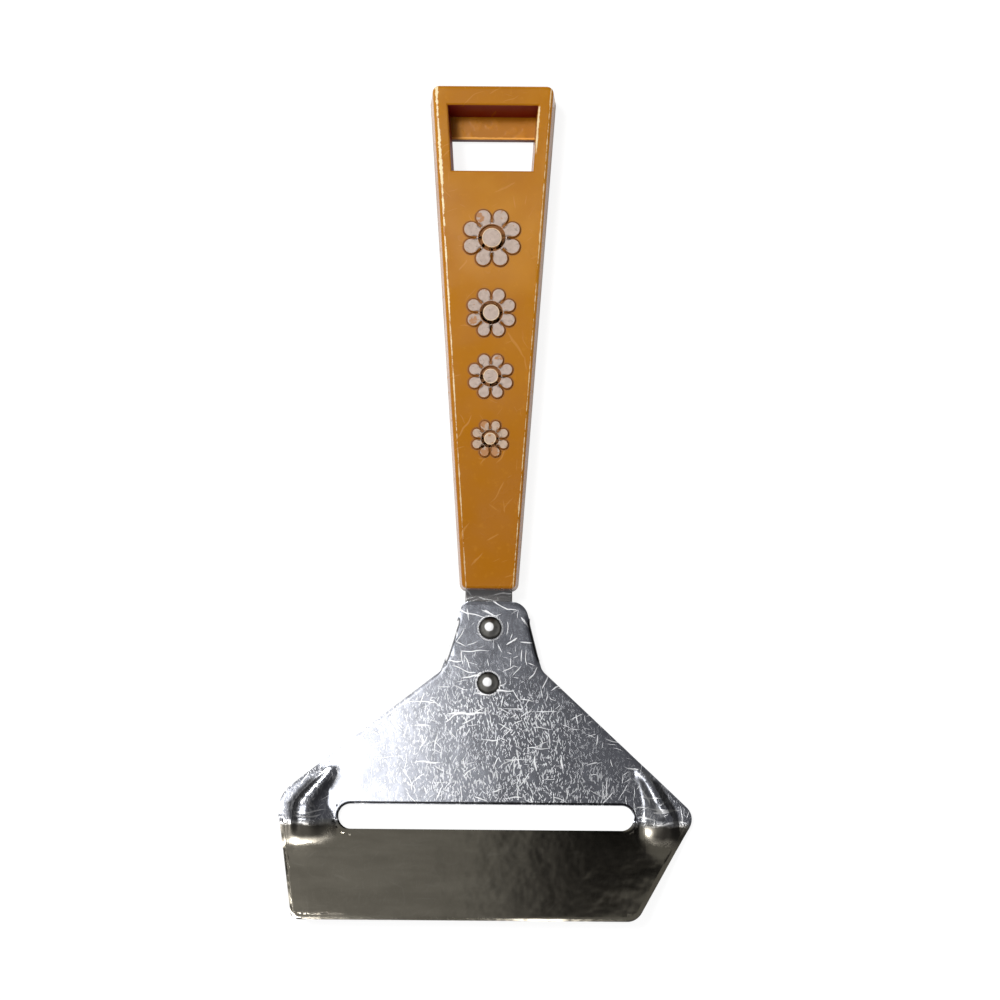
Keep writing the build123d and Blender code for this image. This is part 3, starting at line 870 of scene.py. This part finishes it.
def add_loop(points: list[Point], filled: bool, name: str) -> Piece:
    """Adds a circle primitive and moves its vertices to the points of an outline.

    Args:
        points: outline points, in order.
        filled: whether the loop gets one face.
        name: name of the new piece.

    Returns:
        The new piece.
    """
    bpy.ops.object.select_all(action="DESELECT")
    bpy.ops.mesh.primitive_circle_add(vertices=len(points), radius=1.0,
                                      fill_type="NGON" if filled else "NOTHING")
    piece = bpy.context.object
    piece.name = piece.data.name = name
    for vertex, point in zip(piece.data.vertices, points):
        vertex.co = Vector(point) * MM
    return piece


def join(pieces: list[Piece]) -> Piece:
    """Joins pieces into the first one and merges the points that meet.

    Args:
        pieces: the pieces.

    Returns:
        The first one.
    """
    pick(*pieces)
    bpy.ops.object.join()
    with editing(pieces[0]):
        bpy.ops.mesh.remove_doubles(threshold=MERGE_GAP * MM)
    return pieces[0]


def add_rings(rings: list[list[Point]], name: str, finishes: tuple[int, ...] = ()) -> Piece:
    """Bridges closed loops that have equally many points into one strip of faces.

    Args:
        rings: the loops, from the outermost to the innermost.
        name: name of the new piece.
        finishes: number of the finish of each band between two loops, if there are several.

    Returns:
        The new piece.
    """
    bands = []
    for number, pair in enumerate(zip(rings, rings[1:])):
        band, inner = (add_loop(loop, False, f"{name}_{number}") for loop in pair)
        pick(band, inner)
        bpy.ops.object.join()
        with editing(band, "EDGE"):
            bpy.ops.mesh.bridge_edge_loops()
        for face in band.data.polygons:
            face.material_index = finishes[number] if finishes else 0
        bands.append(band)
    piece = join(bands)
    piece.name = piece.data.name = name
    return piece


def merged_copy(node: Piece, name: str, flat: float = 0.3) -> Piece:
    """Copies a node of the frame, merges its loose triangles and joins those that lie in one plane.

    Args:
        node: the frame's node, which stays as it is.
        name: name of the new piece.
        flat: largest angle in degrees between triangles that are joined.

    Returns:
        The new piece.
    """
    piece = bpy.data.objects.new(name, node.data.copy())
    bpy.context.scene.collection.objects.link(piece)
    piece.data.materials.clear()
    with editing(piece):
        bpy.ops.mesh.customdata_custom_splitnormals_clear()
        bpy.ops.mesh.remove_doubles(threshold=MERGE_GAP * MM)
        bpy.ops.mesh.dissolve_limited(angle_limit=math.radians(flat))
    return piece


def round_edges(piece: Piece, numbers: set[int], offset: float) -> None:
    """Rounds some edges of a piece by a bevel of three faces."""
    with chosen(piece, "EDGE", numbers):
        bpy.ops.mesh.bevel(offset=offset * MM, segments=3, profile=0.5)


def dress(piece: Piece, material: bpy.types.Material) -> None:
    """Gives a piece one material all over."""
    piece.data.materials.clear()
    piece.data.materials.append(material)


def smooth(piece: Piece, angle: float) -> None:
    """Shades a piece smooth, with edges sharper than an angle in degrees left crisp."""
    pick(piece)
    bpy.ops.object.shade_smooth_by_angle(angle=math.radians(angle))


def weigh_normals(piece: Piece) -> None:
    """Lets the large flat faces set the normals that they share with small ones.

    Args:
        piece: the piece, whose other modifiers are already applied.
    """
    weighted = piece.modifiers.new("flat_faces_first", "WEIGHTED_NORMAL")
    weighted.keep_sharp = True
    apply_all(piece)


# Handle


@dataclass
class Handle:
    """Moulded handle: front shell with raised daisies, back cover with the hanging rail, and films."""

    length: float = 136.0
    top_thickness: float = 12.5
    low_thickness: float = 10.0
    relief: float = 0.6
    shoulder_round: float = 0.3
    film_thickness: float = 0.08
    film_shoulder: float = 0.3
    ring_gap: float = 0.22
    disc_gap: float = 0.26
    film_rim: float = 0.18
    lobe_steps: int = 18
    disc_points: int = 64
    rail_low: float = 55.1
    cover_thickness: float = 2.6
    rail_round: float = 0.35
    rail_slack: float = 0.02
    height_slack: float = 0.08
    crisp_angle: float = 40.0

    def slope(self) -> float:
        """Rise of the front face per length."""
        return (self.top_thickness - self.low_thickness) / self.length

    def front_height(self, y: float) -> float:
        """Height of the front face at a place along the axis."""
        return (self.top_thickness + self.low_thickness) / 2 + self.slope() * y

    def lift_loop(self, daisy: Daisy, points: list[Flat]) -> list[Point]:
        """Puts a flat loop on the sloping top of a daisy's film.

        Args:
            daisy: the daisy, whose centre is the loop's.
            points: points of the loop.

        Returns:
            The points in the row frame.
        """
        lie = Vector((0, 1, self.slope())).normalized()
        out = Vector((0, -self.slope(), 1)).normalized() * (self.relief + self.film_thickness)
        height = self.front_height(daisy.along)
        return [tuple(Vector((x, daisy.along, height)) + lie * y + out) for x, y in points]

    def shoulder_edges(self, mesh: bpy.types.Mesh, daisy: Daisy) -> set[int]:
        """Finds the top edges round a daisy's petals.

        Args:
            mesh: mesh of the front shell.
            daisy: the daisy.

        Returns:
            Numbers of the edges.
        """
        normals: dict[tuple[int, int], list[Vector]] = {}
        for face in mesh.polygons:
            for key in face.edge_keys:
                normals.setdefault(key, []).append(face.normal.copy())
        found = set()
        low_share, high_share, sharp = daisy.ring_outer + 0.02, 1.05, math.radians(60)
        for edge in mesh.edges:
            ends = [mesh.vertices[v].co / MM for v in edge.vertices]
            raised = all(abs(p.z - self.front_height(p.y) - self.relief) < self.height_slack for p in ends)
            away = [math.hypot(p.x, p.y - daisy.along) / daisy.radius for p in ends]
            near = all(low_share < share < high_share for share in away)
            sides = normals.get(edge.key, [])
            if raised and near and len(sides) == 2 and sides[0].angle(sides[1]) > sharp:
                found.add(edge.index)
        return found

    def build_shell(self, node: Piece) -> Piece:
        """Refines the front shell: the daisies' top edges are rounded.

        Args:
            node: the frame's front shell.

        Returns:
            The new shell.
        """
        shell = merged_copy(node, "front_shell")
        for daisy in DAISIES:
            round_edges(shell, self.shoulder_edges(shell.data, daisy), self.shoulder_round)
        smooth(shell, self.crisp_angle)
        weigh_normals(shell)
        return shell

    def build_cover(self, node: Piece) -> Piece:
        """Refines the back cover: the rail's lower front edge is rounded.

        Args:
            node: the frame's back cover.

        Returns:
            The new cover.
        """
        cover = merged_copy(node, "back_cover")
        found = set()
        for edge in cover.data.edges:
            ends = [cover.data.vertices[v].co / MM for v in edge.vertices]
            if all(abs(p.y - self.rail_low) < self.rail_slack
                   and abs(p.z - self.cover_thickness) < self.rail_slack for p in ends):
                found.add(edge.index)
        round_edges(cover, found, self.rail_round)
        smooth(cover, self.crisp_angle)
        return cover

    def petal_loop(self, daisy: Daisy, inset: float) -> list[Flat]:
        """Outline of the petal ring, drawn in by an inset.

        Args:
            daisy: which daisy.
            inset: how far the outline is drawn in.

        Returns:
            Outline points around the centre.
        """
        lobe = daisy.radius * daisy.lobe_radius - inset
        centre = daisy.radius * daisy.lobe_centre
        half_base = daisy.radius * daisy.base_width / 2 - inset
        corner = daisy.radius * daisy.ring_outer
        ring = corner - inset
        root = math.sqrt(ring ** 2 - half_base ** 2)
        reach = math.hypot(centre - corner, half_base)
        opening = math.atan2(half_base, corner - centre) - math.acos(min(1.0, lobe / reach))
        gap = math.asin(half_base / ring)
        spare = 2 * math.pi / PETALS - 2 * gap
        angles = [-opening + 2 * opening * i / self.lobe_steps for i in range(self.lobe_steps + 1)]
        petal = [(root, -half_base), (corner, -half_base)]
        petal += [(centre + lobe * math.cos(a), lobe * math.sin(a)) for a in angles]
        petal += [(corner, half_base), (root, half_base)]
        petal += [(ring * math.cos(gap + spare * i / 4), ring * math.sin(gap + spare * i / 4))
                  for i in (1, 2, 3)]
        points = []
        for number in range(PETALS):
            turn = (number + 0.5) * 2 * math.pi / PETALS
            points += [(x * math.cos(turn) - y * math.sin(turn), x * math.sin(turn) + y * math.cos(turn))
                       for x, y in petal]
        return points

    def build_film(self, number: int, finishes: list[bpy.types.Material]) -> Piece:
        """Models the stamped film of one daisy: petal ring and disc, each with a pressed rim.

        Args:
            number: which daisy, from the largest.
            finishes: finish of the film, and finish of its pressed rim.

        Returns:
            The film.
        """
        daisy = DAISIES[number]
        outer = self.petal_loop(daisy, self.film_shoulder)
        second = self.petal_loop(daisy, self.film_shoulder + self.film_rim)
        bearings = [math.atan2(y, x) for x, y in outer]
        inner = daisy.radius * daisy.ring_inner + self.ring_gap
        room = min(math.hypot(x, y) for x, y in second) - inner
        circles = [[(size * math.cos(a), size * math.sin(a)) for a in bearings]
                   for size in (inner + min(self.film_rim, room * 0.5), inner)]
        loops = [self.lift_loop(daisy, loop) for loop in (outer, second, *circles)]
        film = add_rings(loops, f"petals_{number + 1}", (1, 0, 1))
        size = daisy.radius * daisy.disc - self.disc_gap
        angles = [2 * math.pi * i / self.disc_points for i in range(self.disc_points)]
        rim = self.lift_loop(daisy, [(size * math.cos(a), size * math.sin(a)) for a in angles])
        disc = add_loop(rim, True, f"disc_{number + 1}")
        for piece in (film, disc):
            for finish in finishes:
                piece.data.materials.append(finish)
        with editing(disc, "FACE"):
            bpy.ops.mesh.inset(thickness=self.film_rim * MM)
        for face in disc.data.polygons:
            face.material_index = 0 if len(face.vertices) > 4 else 1
        join([film, disc])
        film.name = film.data.name = f"stamped_daisy_{number + 1}"
        with chosen(film, "FACE", {face.index for face in film.data.polygons if face.normal.z < 0}):
            bpy.ops.mesh.flip_normals()
        thick = film.modifiers.new("coat", "SOLIDIFY")
        thick.thickness = self.film_thickness * MM
        thick.offset = -1.0
        apply_all(film)
        return film


# Head plate


@dataclass
class Dart:
    """Pressed ridge that stiffens the fold at one slot end.

    Each row of the run holds a place along the axis, the crest's distance from the axis, its rise,
    and how far the ridge reaches towards the slot and outwards.
    """

    side: int
    run: tuple[tuple[float, ...], ...]
    plateau: float = 1.2
    shelf: float = 0.28
    lift: float = 0.06
    tallest: float = 2.3

    def row(self, y: float) -> tuple[float, ...] | None:
        """Reads the run at a place along the axis.

        Args:
            y: place along the axis.

        Returns:
            The row between its neighbours, without its place, or None outside the run.
        """
        for upper, lower in zip(self.run, self.run[1:]):
            if upper[0] > y >= lower[0]:
                share = (upper[0] - y) / (upper[0] - lower[0])
                return tuple(a + (b - a) * share for a, b in zip(upper[1:], lower[1:]))
        return None

    def rise(self, x: float, y: float) -> float:
        """Height of the ridge above the plain sheet.

        Args:
            x: sideways place.
            y: place along the axis.

        Returns:
            The height.
        """
        found = self.row(y)
        if found is None:
            return 0.0
        crest, height, inner, outer = found
        off = self.side * x - crest
        tight = max(0.0, 1 - abs(off) / (outer if off > 0 else inner)) * self.plateau
        bell = 0.5 - 0.5 * math.cos(math.pi * min(1.0, tight))
        if off <= 0:
            return height * bell
        ledge = self.shelf + self.lift * off / self.tallest
        return height * max(bell, 0.0) * (1 - self.shelf) + height * ledge


@dataclass
class HeadPlate:
    """Stamped sheet: neck, near plate, slot, fold, darts and far plate.

    Each corner of the outline holds a place in plan and a radius, and each run of grid lines its
    first place, its step and its count.
    """

    sheet: float = 1.0
    slope: float = 4.8
    far_rise: float = 20.0
    fold_radius: float = 2.2
    neck_top: float = -70.6
    fold: float = -128.5
    far_edge: float = -153.6
    corners: tuple[Point, ...] = (
        (-6.8, -70.6, 2.4), (9.5, -70.6, 4.4), (14.2, -88.7, 4.0), (55.6, -127.1, 4.4),
        (39.2, -153.43, 4.5), (-50.55, -153.43, 2.2), (-56.25, -122.8, 9.0), (-12.5, -89.0, 4.0))
    slot_length: float = 78.7
    slot_height: float = 6.8
    slot_side: float = -0.25
    slot_middle: float = -127.8
    slot_round: float = 0.999
    flange_drop: float = 2.2
    flange_start: float = 4.0
    flange_end: float = 16.8
    flange_ease: float = 2.0
    rim_steps: tuple[float, ...] = (0.0, 0.48, 0.7, 0.9, 1.15)
    rim_turn: float = 22.5
    places_per_mm: int = 200
    merge_gap: float = 0.003
    cut_gap: float = 0.03
    grid_across: tuple[GridRun, ...] = ((-54.0, 3.0, 37), (36.65, 0.6, 28), (-36.65, -0.6, 28))
    grid_along: tuple[GridRun, ...] = ((-73.0, -4.0, 10), (-112.5, -0.6, 36), (-135.5, -4.0, 5))
    fold_lines: tuple[float, ...] = (-0.45, -0.25, 0.25, 0.45)
    edge_roll: float = 0.06
    bend_radius: float = 0.8
    step: float = 1.2
    edge_round: float = 0.4
    edge_angle: float = 62.0
    crisp_angle: float = 35.0
    left_dart: Dart = field(default_factory=lambda: Dart(-1, (
        (-114.6, 40.8, 0.0, 1.8, 1.4), (-116.4, 42.3, 0.5, 2.4, 1.7), (-119.0, 44.8, 1.1, 3.8, 2.1),
        (-121.8, 47.3, 1.6, 5.2, 2.4), (-124.4, 49.1, 2.05, 6.6, 2.5), (-127.0, 49.4, 2.25, 8.4, 2.5),
        (-129.0, 49.3, 1.85, 9.2, 2.8), (-131.0, 49.0, 1.1, 9.6, 3.4), (-133.0, 48.7, 0.4, 9.6, 4.0),
        (-135.5, 48.4, 0.0, 9.6, 4.6))))
    right_dart: Dart = field(default_factory=lambda: Dart(1, (
        (-114.6, 40.0, 0.0, 1.6, 1.2), (-116.4, 41.6, 0.5, 2.2, 1.6), (-119.0, 43.7, 1.1, 3.2, 2.0),
        (-121.8, 45.3, 1.65, 4.2, 2.4), (-124.4, 46.7, 2.1, 5.2, 2.6), (-127.0, 48.0, 2.3, 6.6, 2.6),
        (-129.0, 48.2, 1.85, 7.4, 2.8), (-131.0, 48.2, 1.1, 8.0, 3.2), (-133.0, 48.0, 0.4, 8.2, 3.6),
        (-135.5, 47.8, 0.0, 8.2, 4.0))))

    def fold_profile(self, y: float) -> float:
        """Height of the middle of the plain sheet.

        Args:
            y: place along the axis.

        Returns:
            The height.
        """
        near, far = math.radians(self.slope), math.radians(self.far_rise)
        sag = math.cos((far - near) / 2) / math.cos((far + near) / 2)
        corner = self.sheet / 2 - self.fold_radius * (sag - 1)
        reach = self.fold_radius * math.tan((far + near) / 2)
        high, low = self.fold + reach * math.cos(near), self.fold - reach * math.cos(far)
        if y >= high:
            return corner + (y - self.fold) * math.tan(near)
        if y <= low:
            return corner + (self.fold - y) * math.tan(far)
        centre_y = high - self.fold_radius * math.sin(near)
        centre_z = corner + reach * math.sin(near) + self.fold_radius * math.cos(near)
        return centre_z - math.sqrt(self.fold_radius ** 2 - (y - centre_y) ** 2)

    def height(self, x: float, y: float) -> float:
        """Height of the middle of the formed sheet at a place in plan."""
        return self.fold_profile(y) + self.left_dart.rise(x, y) + self.right_dart.rise(x, y)

    def rounded(self, corners: tuple[Point, ...], inset: float) -> list[Flat]:
        """Outline through rounded corners, drawn in by an inset, with even steps.

        Args:
            corners: place and radius of each corner, in order.
            inset: how far the outline is drawn in; below zero it goes outwards.

        Returns:
            Outline points, equally many for every inset.
        """
        count = len(corners)
        pairs = [(corners[i], corners[(i + 1) % count]) for i in range(count)]
        inward = 1.0 if sum(a[0] * b[1] - b[0] * a[1] for a, b in pairs) > 0 else -1.0
        spots: list[tuple[Vector, Vector]] = []

        def lead(number: int) -> Vector:
            """Direction from one corner to the next."""
            first, last = (Vector(corners[i % count][:2]) for i in (number, number + 1))
            return (last - first).normalized()

        for i, (cx, cy, radius) in enumerate(corners):
            before, after = lead(i - 1), lead(i)
            turn = before.angle_signed(after) * -1
            hand = 1.0 if turn > 0 else -1.0
            side = Vector((-before.y, before.x)) * hand
            reach = radius * math.tan(abs(turn) / 2)
            centre = Vector((cx, cy)) - before * reach + side * radius
            steps = max(3, round(radius * abs(turn) / (self.step / 3)))
            for k in range(steps + 1):
                cos, sin = math.cos(turn * k / steps), math.sin(turn * k / steps)
                spoke = Vector((side.y * sin - side.x * cos, -side.x * sin - side.y * cos))
                spots.append((centre + spoke * radius, -spoke * hand * inward))
            last = spots[-1][0]
            goal_x, goal_y, goal_radius = corners[(i + 1) % count]
            goal_reach = goal_radius * math.tan(abs(after.angle_signed(lead(i + 1))) / 2)
            run = (Vector((goal_x, goal_y)) - after * goal_reach) - last
            cuts = max(1, round(run.length / self.step))
            normal = Vector((-after.y, after.x)) * inward
            spots += [(last + run * k / cuts, normal) for k in range(1, cuts)]
        return [tuple(spot + normal * inset) for spot, normal in spots]

    def rim_loops(self) -> tuple[list[list[Flat]], list[list[Flat]]]:
        """Loops of the rims round the sheet and round the slot, from the edge inwards.

        Returns:
            The sheet's loops and the slot's loops.
        """
        half, high = self.slot_length / 2, self.slot_height / 2
        slot = tuple((self.slot_side + right * half, self.slot_middle + up * high, high * self.slot_round)
                     for right, up in ((-1, 1), (1, 1), (1, -1), (-1, -1)))
        return ([self.rounded(self.corners, inset) for inset in self.rim_steps],
                [self.rounded(slot, -inset) for inset in self.rim_steps])

    def build_blank(self) -> Piece:
        """Models the flat pattern: rims as rings of quads, and a middle in two halves.

        Returns:
            The flat sheet with its slot.
        """
        rings, slot = self.rim_loops()
        flat = [[[(x, y, 0.0) for x, y in loop] for loop in loops] for loops in (rings, slot)]
        parts = [add_rings(flat[0], "head_sheet"), add_rings(flat[1], "slot_rim")]
        outer, inner = rings[-1], slot[-1]

        def nearest(points: list[Flat], y: float) -> int:
            """Number of the point nearest to the slot's middle line at a place along the axis."""
            return min(range(len(points)), key=lambda i: math.hypot(points[i][0] - self.slot_side,
                                                                    points[i][1] - y))

        def run(points: list[Flat], first: int, last: int) -> list[Flat]:
            """Points from one number on to another, round the loop."""
            return [points[i % len(points)] for i in range(first, last + 1 + len(points) * (last < first))]

        top, bottom = nearest(outer, self.neck_top), nearest(outer, self.far_edge)
        slot_top = nearest(inner, self.slot_middle + self.slot_height)
        slot_bottom = nearest(inner, self.slot_middle - self.slot_height)
        right = run(outer, top, bottom) + run(inner, slot_top, slot_bottom)[::-1]
        left = run(outer, bottom, top) + run(inner, slot_bottom, slot_top)[::-1]
        for number, half in enumerate((right, left)):
            middle = add_loop([(x, y, 0.0) for x, y in half], True, f"middle_{number}")
            self.cut_grid(middle)
            parts.append(middle)
        return join(parts)

    def cut_grid(self, middle: Piece) -> None:
        """Cuts a flat face into a grid, finer where the sheet is formed.

        Args:
            middle: the piece with the face.
        """
        across, along = ([first + step * i for first, step, count in runs for i in range(count)]
                         for runs in (self.grid_across, self.grid_along))
        along += [self.fold + shift for shift in self.fold_lines]
        lines = [(Vector((x, 0, 0)), Vector((1, 0, 0))) for x in sorted(across)]
        lines += [(Vector((0, y, 0)), Vector((0, 1, 0))) for y in sorted(along)]
        with editing(middle, "FACE"):
            for spot, facing in lines:
                bpy.ops.mesh.select_all(action="SELECT")
                bpy.ops.mesh.bisect(plane_co=spot * MM, plane_no=facing, threshold=self.cut_gap * MM)

    def flange_share(self, edge: Flat, inner: Flat) -> float:
        """How far a point of the outline is turned down.

        Args:
            edge: the point.
            inner: the point of the innermost rim loop next to it.

        Returns:
            Its share, from 0 to 1.
        """
        if abs(inner[0] - edge[0]) < 0.5 * math.dist(inner, edge):
            return 0.0
        down = self.neck_top - edge[1]
        rise = max(0.0, (down - self.flange_start) / self.flange_ease)
        share = min(1.0, rise, max(0.0, (self.flange_end - down) / self.flange_ease))
        return share * share * (3 - 2 * share)

    def bend(self, sheet: Piece) -> None:
        """Lifts every point to the formed sheet, rolls the edges and turns the neck's sides down.

        Args:
            sheet: the flat sheet.
        """
        mesh = sheet.data
        rings, slot = self.rim_loops()
        shares = [self.flange_share(edge, inner) for edge, inner in zip(rings[0], rings[-1])]

        def key(x: float, y: float) -> tuple[int, int]:
            """Place of a point, counted in the smallest steps that tell two points apart."""
            return round(x * self.places_per_mm), round(y * self.places_per_mm)

        known = {key(*point): (ring, k)
                 for ring, points in enumerate(rings) for k, point in enumerate(points)}
        known_slot = {key(*point): ring for ring, points in enumerate(slot) for point in points}
        places: dict[int, tuple[int, int]] = {}
        for vertex in mesh.vertices:
            x, y = vertex.co.x / MM, vertex.co.y / MM
            here = key(x, y)
            ring = known_slot.get(here)
            if here in known:
                places[vertex.index] = known[here]
                ring = known[here][0]
            roll = 0.0
            if ring is not None:
                roll = self.edge_roll * (1 - self.rim_steps[ring] / self.rim_steps[-1]) ** 2
            vertex.co.z = max(self.height(x, y) - roll, self.sheet / 2) * MM
        turned = {v for v, (ring, k) in places.items() if ring == 0 and shares[k] > 0}
        with chosen(sheet, "EDGE", {edge.index for edge in mesh.edges if turned.issuperset(edge.vertices)}):
            bpy.ops.mesh.extrude_region_move()
        for vertex in mesh.vertices:
            found = known.get(key(vertex.co.x / MM, vertex.co.y / MM))
            if found is None or shares[found[1]] == 0:
                continue
            ring, k = found
            share = shares[k]
            base = Vector(rings[0][k])
            inward = (Vector(rings[-1][k]) - base).normalized()
            angle = math.radians(90 - self.rim_turn * ring) * share
            reach = self.sheet / 2 + self.bend_radius * (1 - math.sin(angle))
            spot = base + inward * (self.rim_steps[ring] * (1 - share) + reach * share)
            drop = self.bend_radius * (1 - math.cos(angle))
            if vertex.select:
                drop = max(drop, (self.flange_drop + self.sheet / 2) * share)
            vertex.co = Vector((spot.x, spot.y, self.height(spot.x, spot.y) - drop)) * MM

    def build(self) -> Piece:
        """Models the whole head plate.

        Returns:
            The finished sheet.
        """
        sheet = self.build_blank()
        self.bend(sheet)
        with editing(sheet, "FACE"):
            bpy.ops.mesh.remove_doubles(threshold=self.merge_gap * MM)
            bpy.ops.mesh.normals_make_consistent(inside=False)
        if sum(face.normal.z * face.area for face in sheet.data.polygons) < 0:
            sheet.data.flip_normals()
        thick = sheet.modifiers.new("sheet", "SOLIDIFY")
        thick.thickness = self.sheet * MM
        thick.offset = 0.0
        rounding = sheet.modifiers.new("edges", "BEVEL")
        rounding.width = self.edge_round * MM
        rounding.segments = 3
        rounding.limit_method = "ANGLE"
        rounding.angle_limit = math.radians(self.edge_angle)
        apply_all(sheet)
        sheet.name = sheet.data.name = "head_sheet"
        smooth(sheet, self.crisp_angle)
        weigh_normals(sheet)
        return sheet


# Studio


@dataclass(frozen=True)
class Lamp:
    """Soft rectangular lamp: place, aim and size in metres, and power in watts."""

    name: str
    spot: Point
    aim: Point
    size: Flat
    power: float

    def build(self) -> None:
        """Adds the lamp."""
        data = bpy.data.lights.new(self.name, "AREA")
        data.shape = "RECTANGLE"
        data.size, data.size_y = self.size
        data.energy = self.power
        made = bpy.data.objects.new(self.name, data)
        bpy.context.scene.collection.objects.link(made)
        made.location = self.spot
        made.rotation_euler = (Vector(self.aim) - Vector(self.spot)).to_track_quat("-Z", "Y").to_euler()


@dataclass
class Studio:
    """Pale floor, soft light and the camera at the photograph's angle."""

    eye: Point = (3.01, -73.75, 448.96)
    aim: Point = (2.75, -43.15, 0.0)
    roll: float = 0.48
    tilt: float = 3.9
    lens: float = 60.0
    sensor: float = 36.0
    floor_size: float = 8.0
    floor_height: float = -0.0004
    lamps: tuple[Lamp, ...] = (
        Lamp("window", (-0.35, -0.42, 1.1), (-0.35, -0.42, 0.0), (0.54, 0.4), 2.9),
        Lamp("glint", (0.045, 0.25, 1.1), (0.045, 0.25, 0.0), (0.04, 0.12), 0.13),
        Lamp("key", (-0.36, 0.27, 1.1), (0.0, -0.04, 0.0), (0.25, 0.25), 8.8))

    def camera(self) -> None:
        """Places the camera."""
        data = bpy.data.cameras.new("view")
        data.lens, data.sensor_width = self.lens, self.sensor
        data.clip_start, data.clip_end = 0.01, 20.0
        made = bpy.data.objects.new("view", data)
        bpy.context.scene.collection.objects.link(made)
        forward = (Vector(self.aim) - Vector(self.eye)).normalized()
        roll, tilt = math.radians(self.roll), math.radians(self.tilt)
        up_hint = Vector((-math.sin(roll) * math.cos(tilt), math.cos(roll) * math.cos(tilt), math.sin(tilt)))
        right = forward.cross(up_hint).normalized()
        turn = Matrix((right, right.cross(forward), -forward)).transposed()
        made.matrix_world = Matrix.Translation(Vector(self.eye) * MM) @ turn.to_4x4()
        bpy.context.scene.camera = made

    def floor(self) -> None:
        """Lays a wide pale floor that shows white and keeps the object's shadow."""
        bpy.ops.object.select_all(action="DESELECT")
        bpy.ops.mesh.primitive_plane_add(size=self.floor_size, location=(0, 0, self.floor_height))
        made = bpy.context.object
        made.name = "floor"
        material = bpy.data.materials.new("pale_floor")
        material.use_nodes = True
        s = NodeSketch(material.node_tree)
        camera, glossy, through = (s.out("LightPath", {}, f"Is {kind} Ray")
                                   for kind in ("Camera", "Glossy", "Transmission"))
        mirrored = glossy | through
        lit, shown, reflected = grey(0.75), grey(0.2), grey(0.65)
        shown_glow, reflected_loss = 0.88, 0.48
        plain = s.out("BsdfDiffuse", {"Color": lit})
        pale = s.out("BsdfDiffuse", {"Color": s.mix(mirrored, shown, reflected)})
        glow = s.out("Emission", {"Color": grey(1.0), "Strength": shown_glow - mirrored * reflected_loss})
        seen = s.out("AddShader", {0: pale, 1: glow})
        s.node("OutputMaterial", {"Surface": s.out("MixShader", {0: camera | mirrored, 1: plain, 2: seen})})
        made.data.materials.append(material)

    def world(self) -> None:
        """Lights the room: white at the horizon, dim overhead, darkest to the upper right."""
        world = bpy.data.worlds.new("soft_room")
        bpy.context.scene.world = world
        world.use_nodes = True
        s = NodeSketch(world.node_tree)
        x, y, z = s.axes(s.out("TexCoord", {}, "Generated"))
        near_right, near_left = grey(0.17, -0.01), grey(0.42)
        far_right, far_left, far_corner = grey(0.006), grey(0.3, 0.01), grey(0.22, 0.01)
        horizon, corner_y, corner_x, corner_lean = grey(0.95), 0.498, 0.059, 2.27
        near = s.mix(x.ramp(0.1, -0.35), near_right, near_left)
        far = s.mix(x.ramp(0.05, -0.03), far_right, far_left)
        corner = x - ((y - corner_y) * corner_lean + corner_x)
        far = s.mix(corner.ramp(0.0, 0.02), far, far_corner)
        room = s.mix(y.ramp(0.1, 0.45), near, far)
        room = s.mix(z.ramp(0.25, 0.03), room, horizon)
        seen = s.mix(s.out("LightPath", {}, "Is Camera Ray"), room, grey(1.0))
        s.node("OutputWorld", {"Surface": s.out("Background", {"Color": seen, "Strength": 1.0})})

    def build(self) -> None:
        """Sets up floor, room, lamps, camera and the plain view."""
        self.floor()
        self.world()
        for lamp in self.lamps:
            lamp.build()
        self.camera()
        bpy.context.scene.view_settings.view_transform = "Standard"


# Assembly


def show(piece: Piece, material: bpy.types.Material, slot: Slot, *nodes: str) -> None:
    """Dresses a new piece, lets it ride on the body and stand for its nodes.

    Args:
        piece: the new piece.
        material: its finish.
        slot: the record's slot for its finish; not used.
        nodes: the frame's nodes that it stands for.
    """
    if not piece.data.materials:
        dress(piece, material)
    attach(piece, "root")
    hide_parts(*nodes)
    LOG.info("%s stands for %s, %d faces", piece.name, ", ".join(nodes), len(piece.data.polygons))


def main() -> None:
    """Builds the pieces in order, dresses them and sets up the studio."""
    logging.basicConfig(level=logging.INFO, format="%(message)s")
    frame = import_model()
    nodes = frame["nodes"]
    effects = Effects()
    plastic = MouldedPlastic().material(effects)
    cover_plastic = CoverPlastic().material(effects)
    steel = WornSteel().material(effects)
    tang_steel = WornSteel("tang_steel", body="94918F", dull="706E6C", scratch_share=0.5).material(effects)
    film = StampedFilm(spots=((-3.4, 31.0, 2.4), (2.5, -6.4, 2.2), (-4.6, 3.6, 2.0))).material(effects)
    thin_film = StampedFilm("thin_film", coat="C2A68E", rubbed=0.16,
                            spots=((0.0, -31.5, 3.4), (-2.0, -23.6, 2.2))).material(effects)
    film_rim = StampedFilm("film_rim", "EBCFA8", "C09A70", "C08A40", 0.12).material(effects)

    handle = Handle()
    show(handle.build_shell(nodes["handle_front_shell"]), plastic, Slot.PLASTIC, "handle_front_shell")
    show(handle.build_cover(nodes["handle_back_cover"]), cover_plastic, Slot.PLASTIC, "handle_back_cover")
    for number, coat in enumerate((film, film, film, thin_film)):
        show(handle.build_film(number, [coat, film_rim]), coat, Slot.FILM, f"daisy_film_{number + 1}")

    show(HeadPlate().build(), steel, Slot.STEEL, "head_plate")
    dress(nodes["tang"], tang_steel)
    for name, (across, along) in zip(("rivet_upper", "rivet_lower"), WornSteel.rivets):
        dress(nodes[name], RivetSteel(f"{name}_steel", across, along).material(effects))
        LOG.info("%s keeps its shape from the frame", name)

    Studio().build()


if __name__ == "__main__":
    main()
